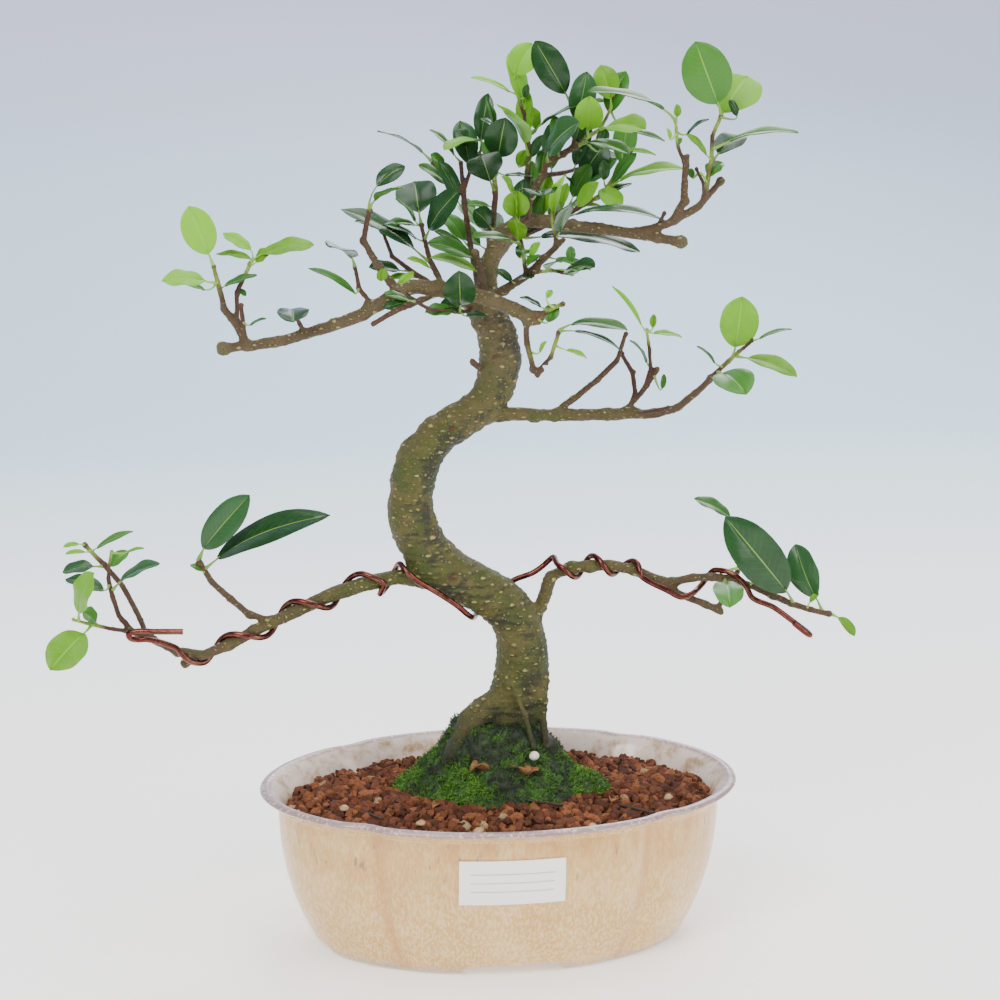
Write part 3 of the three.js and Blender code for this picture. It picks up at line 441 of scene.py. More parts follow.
def bark_material(sizes):
    """Living fig bark: olive, wrinkled and full of pores on the trunk, brown on twigs."""
    made, add = new_material("living_fig_bark")
    where = add("TexCoord", out="Object")
    girth = add("Attribute", attribute_name="girth", out="Fac")
    damp = add("Attribute", attribute_name="damp", out="Fac")
    young = add("Attribute", attribute_name="young", out="Fac")
    painted_side_shade = add("Attribute", attribute_name="painted_side_shade", out="Fac")
    scar = add("Attribute", attribute_name="scar", out="Fac")
    cloud = add("TexNoise", where, 1 / (13 * MM), 4.0, 0.6)
    fine = add("TexNoise", where, 1 / (0.9 * MM), 5.0, 0.72)
    grain = add("TexNoise", where, 1 / (2.4 * MM), 4.0, 0.7)
    patch = add("TexNoise", where, 1 / (5 * MM), 4.0, 0.65)
    trunk = add("Mix", add("MapRange", cloud, 0.4, 0.6, **SOFT), sizes.olive, sizes.lichen, **COLOUR)
    trunk = add("Mix", add("MapRange", grain, 0.35, 0.66, 0.0, 0.7, **SOFT), trunk,
                linear("#3d4018")[:3], **COLOUR)
    # Higher up, the old bark turns greyer and browner.
    tall = add("SeparateXYZ", where, out="Z")
    old = add("Math", add("MapRange", tall, 195 * MM, 250 * MM, **SOFT),
              add("MapRange", patch, 0.3, 0.6, 0.3, 0.8, **SOFT), **TIMES)
    trunk = add("Mix", old, trunk, linear("#62533a")[:3], **COLOUR)
    branch = add("Mix", add("MapRange", grain, 0.35, 0.65, **SOFT), sizes.branch, linear("#4a3a28")[:3],
                 **COLOUR)
    wood = add("Mix", add("MapRange", girth, 3.0, 7.0, **SOFT), branch, trunk, **COLOUR)
    twig = add("Mix", add("MapRange", grain, 0.35, 0.65, **SOFT), sizes.twig, linear("#3b241a")[:3],
               **COLOUR)
    wood = add("Mix", add("MapRange", girth, 3.0, 1.9, **SOFT), wood, twig, **COLOUR)
    wood = add("Mix", young, wood, sizes.shoot, **COLOUR)
    # The raised pores' own mask, with fine dust-like pores between them
    cells = add("TexVoronoi", where, Scale=1 / (1.6 * MM)).node.outputs
    chance = add("SeparateColor", cells["Color"], out="Red")
    dust = add("MapRange", add("Math", cells["Distance"],
                               add("MapRange", chance, 0.5, 1.0, -0.1, 0.2, **SOFT), **LESS), 0.07,
               -0.03, **SOFT)
    mask = add("Math", add("Attribute", attribute_name="pore", out="Fac"),
               add("Math", fine, 0.5, **TIMES), **PLUS)
    spot = add("Math", add("MapRange", mask, 0.42, 0.9, **SOFT), add("Math", dust, 0.4, **TIMES),
               **GREATER)
    spot = add("Math", spot, add("MapRange", girth, 1.6, 5.0, 0.25, 1.0, **SOFT), **TIMES)
    spot = add("Math", spot, add("MapRange", damp, 0.9, 0.3, **SOFT), **TIMES)
    spot = add("Math", spot, add("MapRange", young, 0.5, 0.1, **SOFT), **TIMES)
    # Painted shade: dark patches on the trunk's lower and right-hand sides.
    dark = add("Math", add("MapRange", painted_side_shade, 0.1, 0.5, **SOFT),
               add("MapRange", add("TexNoise", where, 1 / (9 * MM), 6.0, 0.75), 0.46, 0.54, **SOFT),
               **TIMES)
    wood = add("Mix", add("Math", dark, 0.85, **TIMES), wood, linear("#23251a")[:3], **COLOUR)
    wood = add("Mix", add("Math", spot, 0.7, **TIMES), wood, sizes.pore, **COLOUR)
    wood = add("Mix", add("MapRange", fine, 0.48, 0.68, 0.0, 0.65, **SOFT), wood, linear("#3b3720")[:3],
               **COLOUR)
    # Painted shade and damp bark: the trunk's foot darkens in patches near the soil.
    damp_and_shade = add("Math", damp, add("MapRange", patch, 0.2, 0.6, 0.75, 1.0, **SOFT), **TIMES)
    wood = add("Mix", damp_and_shade, wood, sizes.shade, **COLOUR)
    wood = add("Mix", add("Math", scar, 0.9, **TIMES), wood, linear("#5a2c1a")[:3], **COLOUR)
    lump = add("Math", add("Math", fine, grain, **PLUS), add("Math", spot, 1.3, **TIMES), **PLUS)
    bump = add("Bump", Strength=1.0, Distance=0.8 * MM, Height=lump)
    add("OutputMaterial", add("BsdfPrincipled", Base_Color=wood, Roughness=0.6,
                              Specular_IOR_Level=0.4, Normal=bump))
    return made


def wire_material(sizes):
    """Soft aluminium wire, anodised and dyed brown: a satin metal."""
    made, add = new_material("anodised_aluminium_wire")
    where = add("TexCoord", out="Object")
    scuff = add("TexNoise", where, 1 / (3 * MM), 3.0, 0.6)
    body = add("Mix", add("MapRange", scuff, 0.35, 0.75, **SOFT), sizes.brown, (0.16, 0.07, 0.045),
               **COLOUR)
    rough = add("MapRange", scuff, 0.3, 0.8, 0.2, 0.34, **SOFT)
    fine = add("TexNoise", where, 1 / (0.5 * MM), 3.0, 0.55)
    bump = add("Bump", Strength=0.4, Distance=0.02 * MM, Height=fine)
    add("OutputMaterial", add("BsdfPrincipled", Base_Color=body, Metallic=0.85, Roughness=rough,
                              Normal=bump))
    return made


# How far light travels inside a leaf, and how much of it in each colour
LEAF_GLOW = 1.5 * MM
LEAF_GLOW_RGB = (0.6, 1.0, 0.15)


def leaf_material(name, tint, sizes, gloss, glow, vein):
    """A waxy fig leaf: pale midrib, faint side veins and a cuticle that shines."""
    made, add = new_material(name)
    where = add("TexCoord", out="Object")
    tone = add("Attribute", attribute_name="tone", out="Fac")
    across = add("Attribute", attribute_name="across", out="Fac")
    along = add("Attribute", attribute_name="along", out="Fac")
    side = add("Math", across, **SIZE)
    patch = add("TexNoise", where, 1 / (6 * MM), 3.0, 0.6)
    low = [c * 0.62 for c in tint]
    high = [min(1.0, c * 1.3 + 0.012) for c in tint]
    body = add("Mix", add("MapRange", tone, 0.0, 1.0, **SOFT), low, high, **COLOUR)
    body = add("Mix", add("Math", add("MapRange", patch, 0.35, 0.7, **SOFT), 0.3, **TIMES), body, high,
               **COLOUR)
    # Side veins leave the midrib at an angle and bow towards the tip.
    sweep = add("Math", add("Math", along, 13.0, **TIMES), add("Math", side, 2.6, **TIMES), **LESS)
    wave = add("Math", add("Math", add("Math", sweep, **FRACTION), 0.5, **LESS), **SIZE)
    veins = add("Math", add("MapRange", wave, 0.09, 0.0, **SOFT),
                add("MapRange", side, 1.0, 0.1, 0.0, 0.4, **SOFT), **TIMES)
    rib = add("MapRange", side, 0.045, 0.01, **SOFT)
    marks = add("Math", add("Math", veins, vein, **TIMES), add("Math", rib, 0.42, **TIMES), **GREATER)
    body = add("Mix", marks, body, sizes.vein, **COLOUR)
    relief = add("Math", marks, add("Math", patch, 0.5, **TIMES), **PLUS)
    bump = add("Bump", Strength=0.5, Distance=0.12 * MM, Height=relief)
    add("OutputMaterial", add("BsdfPrincipled", Base_Color=body, Roughness=gloss, IOR=1.42,
                              Specular_IOR_Level=0.36, Subsurface_Weight=glow,
                              Subsurface_Scale=LEAF_GLOW, Subsurface_Radius=LEAF_GLOW_RGB,
                              Normal=bump))
    return made


def under_leaf_material(name, tint, sizes):
    """The leaf's underside: paler, matt, with the midrib standing proud."""
    made, add = new_material(name)
    across = add("Attribute", attribute_name="across", out="Fac")
    side = add("Math", across, **SIZE)
    pale = [c * 0.8 + 0.03 for c in tint]
    rib = add("Math", add("MapRange", side, 0.09, 0.02, **SOFT), 0.7, **TIMES)
    body = add("Mix", rib, pale, sizes.vein, **COLOUR)
    bump = add("Bump", Strength=0.5, Distance=0.12 * MM, Height=rib)
    add("OutputMaterial", add("BsdfPrincipled", Base_Color=body, Roughness=0.55,
                              Subsurface_Weight=0.3, Subsurface_Scale=LEAF_GLOW,
                              Subsurface_Radius=LEAF_GLOW_RGB, Normal=bump))
    return made


def plain_material(name, first, second, size, rough, height=0.1 * MM):
    """A matt surface that varies between two colours."""
    made, add = new_material(name)
    where = add("TexCoord", out="Object")
    grain = add("TexNoise", where, 1 / size, 4.0, 0.6)
    body = add("Mix", add("MapRange", grain, 0.35, 0.7, **SOFT), first, second, **COLOUR)
    bump = add("Bump", Strength=0.8, Distance=height, Height=grain)
    add("OutputMaterial", add("BsdfPrincipled", Base_Color=body, Roughness=rough, Normal=bump))
    return made


def label_material(sizes, low, high):
    """White coated paper with a few grey ruled lines."""
    made, add = new_material("coated_label_paper")
    where = add("TexCoord", out="Object")
    parts = add("SeparateXYZ", where).node.outputs
    depth = high.z - low.z
    span = high.x - low.x
    lines = None
    for share in (0.3, 0.5, 0.7):
        gap = add("Math", add("Math", parts["Z"], low.z + share * depth, **LESS), **SIZE)
        line = add("MapRange", gap, 0.3 * MM, 0.12 * MM, **SOFT)
        lines = line if lines is None else add("Math", lines, line, **GREATER)
    inside = add("Math", add("MapRange", parts["X"], low.x + 0.1 * span, low.x + 0.11 * span, **SOFT),
                 add("MapRange", parts["X"], high.x - 0.1 * span, high.x - 0.11 * span, **SOFT),
                 **TIMES)
    lines = add("Math", add("Math", lines, inside, **TIMES), 0.8, **TIMES)
    body = add("Mix", lines, sizes.paper, sizes.rule, **COLOUR)
    fibre = add("TexNoise", where, 1 / (0.3 * MM), 3.0, 0.55)
    bump = add("Bump", Strength=0.5, Distance=0.01 * MM, Height=fibre)
    add("OutputMaterial", add("BsdfPrincipled", Base_Color=body, Roughness=0.45, Normal=bump))
    return made


# ---------------------------------------------------------------- stage

class BONSAI_OT_stage(bpy.types.Operator):
    """Set the camera, a pale curved backdrop and soft studio lamps"""
    bl_idname = "bonsai.stage"
    bl_label = "Stage"

    def execute(self, context):
        sizes = context.scene.bonsai_stage
        self.camera(context, sizes)
        self.backdrop(sizes)
        self.lamps(context)
        return {"FINISHED"}

    def camera(self, context, sizes):
        # The plant is turned 7 degrees in its pot, and the lens looks along the plant's depth.
        way = Matrix.Rotation(PLANT_TURN, 3, "Z") @ Vector((0, -1, 0))
        spot = Vector((POT_MIDDLE.x, POT_MIDDLE.y, 0)) + way * sizes.distance
        spot.z = sizes.height
        deselect()
        bpy.ops.object.camera_add(
            location=spot, rotation=(math.pi / 2 - sizes.tilt, 0, PLANT_TURN))
        camera = context.object
        camera.name = "camera"
        camera.data.lens = sizes.lens
        camera.data.sensor_width = 36
        camera.data.clip_start = 0.01
        context.scene.camera = camera

    def backdrop(self, sizes):
        """A floor that curves up into a wall, rolled from a grid."""
        deselect()
        bpy.ops.mesh.primitive_grid_add(x_subdivisions=4, y_subdivisions=48, size=1)
        sweep = named(bpy.context.object, "backdrop")
        points = coordinates(sweep.data)
        along = points[:, 1] + 0.5
        radius, floor = 0.7, 2.6
        arc = radius * math.pi / 2
        total = floor + arc + 3.0
        run = along * total
        turn = np.clip((run - floor) / radius, 0, math.pi / 2)
        rest = np.clip(run - floor - arc, 0, None)
        y = np.minimum(run, floor) + radius * np.sin(turn) - 1.5
        z = radius * (1 - np.cos(turn)) + rest - 0.0004
        set_coordinates(sweep.data, np.column_stack([points[:, 0] * 7, y, z]))
        smooth(sweep)
        made, add = new_material("seamless_backdrop_paper")
        # The cool tone comes in further back and with height.
        where = add("TexCoord", out="Object")
        parts = add("SeparateXYZ", where).node.outputs
        far = add("MapRange", parts["Y"], 0.0, 1.25, **SOFT)
        rise = add("MapRange", parts["Z"], 0.03, 0.42, **SOFT)
        paper = add("Mix", far, sizes.floor, sizes.middle, **COLOUR)
        paper = add("Mix", rise, paper, sizes.backdrop, **COLOUR)
        # Painted glow: the backdrop emits its own colour, standing in for the light that a light tent's
        # walls pass.
        add("OutputMaterial", add("BsdfPrincipled", Base_Color=paper, Roughness=0.9,
                                  Specular_IOR_Level=0.1, Emission_Color=paper,
                                  Emission_Strength=0.62))
        wear(sweep, made)

    def lamps(self, context):
        """Large soft lamps, as in a light tent."""
        middle = Vector((POT_MIDDLE.x, 0, 0.17))
        plan = (("key_lamp", (-0.8, -1.2, 1.35), 0.9, 33, (1.0, 0.98, 0.94)),
                ("fill_lamp", (1.3, -1.0, 0.75), 1.0, 19, (1.0, 0.98, 0.95)),
                ("top_lamp", (0.1, 0.1, 1.5), 1.1, 18, (1.0, 1.0, 1.0)),
                ("back_lamp", (0.5, 1.2, 1.0), 0.9, 12, (1.0, 0.98, 0.95)))
        for name, spot, size, power, tint in plan:
            deselect()
            spot = Vector(spot)
            facing = (middle - spot).to_track_quat("-Z", "Y").to_euler()
            bpy.ops.object.light_add(type="AREA", location=spot, rotation=facing)
            lamp = context.object
            lamp.name = name
            lamp.data.size = size
            lamp.data.energy = power
            lamp.data.color = tint
        world = bpy.data.worlds.new("studio")
        context.scene.world = world
        world.use_nodes = True
        ground = next(n for n in world.node_tree.nodes if n.type == "BACKGROUND")
        ground.inputs["Color"].default_value = linear("#e4e6ef")
        ground.inputs["Strength"].default_value = 0.6


# ---------------------------------------------------------------- pot

class BONSAI_OT_pot(bpy.types.Operator):
    """Roll the glazed pot from a grid, and cut its feet and drain holes"""
    bl_idname = "bonsai.pot"
    bl_label = "Pot"

    def execute(self, context):
        self.sizes = context.scene.bonsai_pot
        size = POT_HIGH - POT_LOW
        self.long, self.wide, self.high = size.x / 2, size.y / 2, size.z
        pot = self.roll()
        self.cut(pot)
        self.mark(pot)
        smooth(pot, math.radians(35))
        wear(pot, glaze_material(self.sizes))
        finish_piece(pot, "glazed_ceramic", "pot")
        return {"FINISHED"}

    def wall_inset(self, z):
        sizes = self.sizes
        body = self.high - sizes.lip_height
        share = max(0.0, (body - z) / body)
        return sizes.lip_overhang + (sizes.foot_inset - sizes.lip_overhang) * share ** 2.3

    def profile(self):
        """Level, inset and notch depth of each ring, from the foot's inside to the floor."""
        sizes, high = self.sizes, self.high
        body = high - sizes.lip_height
        notch, foot = sizes.notch_depth, sizes.foot_height
        under = sizes.foot_inset + sizes.foot_width
        rings = [(foot, under + 0.0005, 0), (foot - 0.0008, under, 0), (0.0008, under, 0),
                 (0.0001, under - 0.0009, 0), (0.0, under - 0.002, 0),
                 (0.0, sizes.foot_inset + 0.002, 0), (0.0004, sizes.foot_inset + 0.0007, 0),
                 (0.0015, self.wall_inset(0.0015), notch * 0.3)]
        for step in range(1, 27):
            share = step / 27
            depth = notch * min(1, 0.3 + share * 2)
            rings.append((body * share, self.wall_inset(body * share), depth))
        # A small bead, a flared band, and a rounded crest that slopes away inside.
        overhang = sizes.lip_overhang
        share = sizes.lip_height / 0.006
        curve = (
            (-0.9, 7.0, 1), (-0.3, 6.6, 1), (0.1, 5.9, 1), (0.5, 5.5, .9), (0.9, 5.6, .9),
            (1.3, 5.3, .9), (1.9, 4.5, .8), (2.5, 3.6, .8), (3.1, 2.5, .7), (3.5, 1.6, .7),
            (3.8, 0.9, .7), (4.2, 0.3, .7), (4.6, 0.0, .7), (5.0, 0.1, .7), (5.4, 0.4, .7),
            (5.75, 0.9, .7), (5.95, 1.6, .7), (6.0, 2.4, .7), (5.8, 3.2, .7), (5.35, 4.0, .7),
            (4.6, 4.9, .7), (3.6, 5.9, .7), (2.4, 6.9, .7), (1.0, 7.8, .7), (-0.6, 8.7, .7),
            (-2.4, 9.5, .7), (-4.2, 10.3, .7))
        for level, inset, depth in curve:
            rings.append((body + level * MM * share, inset / 7 * overhang, notch * depth))
        for step in range(1, 13):
            level = body - 0.0042 - (body - 0.0042 - 0.0138) * step / 12
            inset = max(10.3 / 7 * overhang, self.wall_inset(level) + sizes.wall)
            rings.append((level, inset, notch * 0.6))
        floor = 0.011
        last = self.wall_inset(0.012) + sizes.wall
        rings += [(floor + 0.0004, last + 0.002, 0), (floor, last + 0.004, 0)]
        return rings

    def roll(self):
        rings = self.profile()
        round_steps = 288
        deselect()
        bpy.ops.mesh.primitive_grid_add(
            x_subdivisions=round_steps, y_subdivisions=len(rings) - 1, size=1)
        pot = named(bpy.context.object, "glazed_pot")
        points = coordinates(pot.data)
        angle = (points[:, 0] + 0.5) * math.tau
        row = np.rint((points[:, 1] + 0.5) * (len(rings) - 1)).astype(int)
        table = np.array(rings)[row]
        cosine, sine = np.cos(angle), np.sin(angle)
        from_end = np.degrees(np.arctan2(np.abs(sine), np.abs(cosine)))
        pull = table[:, 1] + table[:, 2] * np.exp(-((from_end - 51.5) / 4.6) ** 2)
        # A thrown and moulded pot is never quite even.
        waver = 0.00025 * np.sin(3 * angle + 1.1) + 0.00018 * np.sin(5 * angle + 0.3)
        pull = pull + waver * np.clip(table[:, 0] / 0.02, 0, 1)
        x = (self.long - pull) * cosine + POT_MIDDLE.x
        y = (self.wide - pull) * sine + POT_MIDDLE.y
        set_coordinates(pot.data, np.column_stack([x, y, table[:, 0]]))
        pick(pot)
        bpy.ops.object.mode_set(mode="EDIT")
        bpy.ops.mesh.select_all(action="SELECT")
        bpy.ops.mesh.remove_doubles(threshold=0.00001)
        bpy.ops.mesh.select_all(action="DESELECT")
        bpy.ops.mesh.select_non_manifold(extend=False)
        bpy.ops.mesh.fill_holes(sides=0)
        bpy.ops.mesh.select_all(action="SELECT")
        bpy.ops.mesh.normals_make_consistent(inside=False)
        bpy.ops.object.mode_set(mode="OBJECT")
        return pot

    def cut(self, pot):
        """Cuts the gaps between the four feet, and the two drain holes."""
        cutters = []
        for spread in ((0.046, 0.2), (0.3, 0.040)):
            bpy.ops.mesh.primitive_cube_add(
                size=1, location=(POT_MIDDLE.x, POT_MIDDLE.y, -0.0005), scale=(*spread, 0.010))
            cutter = bpy.context.object
            settle(cutter)
            # The gap's ends slope, so that it is narrower at the top.
            points = coordinates(cutter.data)
            narrow = np.where(points[:, 2] > 0, 1 - 0.010 / np.array(min(spread)), 1.0)
            long = 0 if spread[0] < spread[1] else 1
            centre = POT_MIDDLE.x if long == 0 else POT_MIDDLE.y
            points[:, long] = centre + (points[:, long] - centre) * narrow
            set_coordinates(cutter.data, points)
            apply(cutter, "BEVEL", width=0.0016, segments=4, limit_method="NONE")
            cutters.append(cutter)
        for side in (-1, 1):
            bpy.ops.mesh.primitive_cylinder_add(
                vertices=64, radius=0.006, depth=0.03,
                location=(POT_MIDDLE.x + side * 0.032, POT_MIDDLE.y, 0.006))
            settle(bpy.context.object)
            cutters.append(bpy.context.object)
        for cutter in cutters:
            apply(pot, "BOOLEAN", operation="DIFFERENCE", object=cutter, solver="EXACT")
            bpy.data.objects.remove(cutter)

    def mark(self, pot):
        """Marks grooves, the inner wall and bare clay for the glaze."""
        points = coordinates(pot.data)
        x = points[:, 0] - POT_MIDDLE.x
        y = points[:, 1] - POT_MIDDLE.y
        z = points[:, 2]
        body = self.high - self.sizes.lip_height
        inset = np.array([self.wall_inset(level) for level in z])
        normals = np.array([v.normal for v in pot.data.vertices])
        outward = normals[:, 0] * x / self.long ** 2 + normals[:, 1] * y / self.wide ** 2
        outward /= np.hypot(x / self.long ** 2, y / self.wide ** 2) + 1e-9
        inner = inset + self.sizes.wall - 0.0008
        radius = (x / (self.long - inner)) ** 2 + (y / (self.wide - inner)) ** 2
        inside = np.where(z > body - 0.003, outward < 0.05, (radius < 1) & (z > 0.0105))
        angle = np.arctan2(np.abs(y) / self.wide, np.abs(x) / self.long)
        groove = np.exp(-((np.degrees(angle) - 51.5) / 2.2) ** 2) * (z > 0.002) * ~inside
        under = self.sizes.foot_inset + 0.001
        bare = ((x / (self.long - under)) ** 2 + (y / (self.wide - under)) ** 2 < 1) & (z < 0.0105)
        set_attribute(pot.data, "inner", inside)
        set_attribute(pot.data, "groove", groove)
        set_attribute(pot.data, "bare", bare | (z < 0.0006))


# ---------------------------------------------------------------- soil

class BONSAI_OT_soil(bpy.types.Operator):
    """Fill the pot with fired clay granules over a bed painted dark as shade"""
    bl_idname = "bonsai.soil"
    bl_label = "Soil"

    def execute(self, context):
        sizes = context.scene.bonsai_soil
        bed = cad_copy("soil", "soil_bed")
        points = coordinates(bed.data)
        points[:, 2] = np.where(points[:, 2] > 0.05, points[:, 2] - 0.0016, points[:, 2])
        set_coordinates(bed.data, points)
        # The bed takes the darkest tone: painted shade in the gaps between the granules.
        set_attribute(bed.data, "tone", np.zeros(len(points)))
        grains = self.grains(sizes)
        material = soil_material(sizes)
        wear(bed, material)
        wear(grains, material)
        whole = join([bed, grains], "soil_granules")
        finish_piece(whole, "clay_granules", "soil")
        return {"FINISHED"}

    def templates(self):
        shapes = []
        for kind in range(8):
            deselect()
            bpy.ops.mesh.primitive_ico_sphere_add(subdivisions=2, radius=0.5)
            stone = bpy.context.object
            points = []
            shift = Vector((kind * 7.3, kind * 3.1, 0))
            for point in coordinates(stone.data):
                spot = Vector(point)
                lump = 1 + 0.55 * noise.noise(spot * 2.4 + shift) + 0.25 * noise.noise(spot * 6 + shift)
                points.append(spot * lump)
            faces = [tuple(p.vertices) for p in stone.data.polygons]
            shapes.append((np.array(points), np.array(faces)))
            bpy.data.objects.remove(stone)
        return shapes

    def grains(self, sizes):
        rng = np.random.default_rng(11)
        shapes = self.templates()
        reach_x = (POT_HIGH.x - POT_LOW.x) / 2 - 0.0108
        reach_y = (POT_HIGH.y - POT_LOW.y) / 2 - 0.0108
        pitch = sizes.pitch
        points, faces, tones, count = [], [], [], 0
        for layer in range(2):
            steps_x, steps_y = int(reach_x / pitch) + 1, int(reach_y / pitch) + 1
            for i in range(-steps_x, steps_x + 1):
                for j in range(-steps_y, steps_y + 1):
                    x = (i + 0.5 * (j % 2) + 0.5 * layer + rng.uniform(-0.42, 0.42)) * pitch
                    y = (j + 0.4 * layer + rng.uniform(-0.42, 0.42)) * pitch * 0.93
                    share = math.hypot(x / reach_x, y / reach_y)
                    # The wall bulges inwards at its four notches.
                    turn = math.degrees(math.atan2(abs(y) / reach_y, abs(x) / reach_x))
                    if share > 1 - 0.065 * math.exp(-((turn - 51.5) / 6) ** 2):
                        continue
                    spot = Vector((x + POT_MIDDLE.x, y + POT_MIDDLE.y, 0))
                    mound = math.hypot((spot.x - MOSS_MIDDLE.x) / MOSS_HALF.x,
                                       (spot.y - MOSS_MIDDLE.y) / MOSS_HALF.y)
                    if mound < 0.66:
                        continue
                    depth = (1 - share) * min(reach_x, reach_y)
                    top = 0.0580 + 0.0030 * min(1.0, depth / 0.020)
                    wave = noise.noise(spot * 60) * 0.0014
                    size = sizes.grain * min(1.5, max(0.5, rng.lognormal(-0.04, 0.30)))
                    size *= 0.8 if share > 0.94 else 1.0
                    z = top + wave - size * 0.32 - (1 - layer) * sizes.grain * 0.55
                    turn = rng.normal(size=4)
                    w, a, b, c = turn / np.linalg.norm(turn)
                    spin = np.array([
                        [1 - 2 * (b * b + c * c), 2 * (a * b - c * w), 2 * (a * c + b * w)],
                        [2 * (a * b + c * w), 1 - 2 * (a * a + c * c), 2 * (b * c - a * w)],
                        [2 * (a * c - b * w), 2 * (b * c + a * w), 1 - 2 * (a * a + b * b)]])
                    stretch = size * np.array([1.0, rng.uniform(0.75, 1.0), rng.uniform(0.6, 0.95)])
                    shape, polygons = shapes[rng.integers(len(shapes))]
                    points.append((shape * stretch) @ spin.T + (spot.x, spot.y, z))
                    faces.append(polygons + count)
                    count += len(shape)
                    # The lower layer, seen only between the top granules, is painted darker as shade.
                    tone = rng.uniform(0, 1) * (0.55 if layer == 0 else 1.0)
                    tones.append(np.full(len(shape), tone))
        piece = mesh_piece("grains", np.concatenate(points), np.concatenate(faces).tolist())
        set_attribute(piece.data, "tone", np.concatenate(tones))
        return piece


# ---------------------------------------------------------------- moss

# Cushions of moss: where in the plant's frame, how wide and how tall, in mm
CUSHIONS = ((-33, 0, 10, 5.5), (-25, -9, 7, 5), (-12, -14, 9, 6.5), (5, -15, 10, 5),
            (20, -10, 10, 7), (33, -3, 10, 8), (27, 9, 9, 6), (-20, 13, 9, 6), (6, 20, 12, 6),
            (-3, -9, 8, 11))


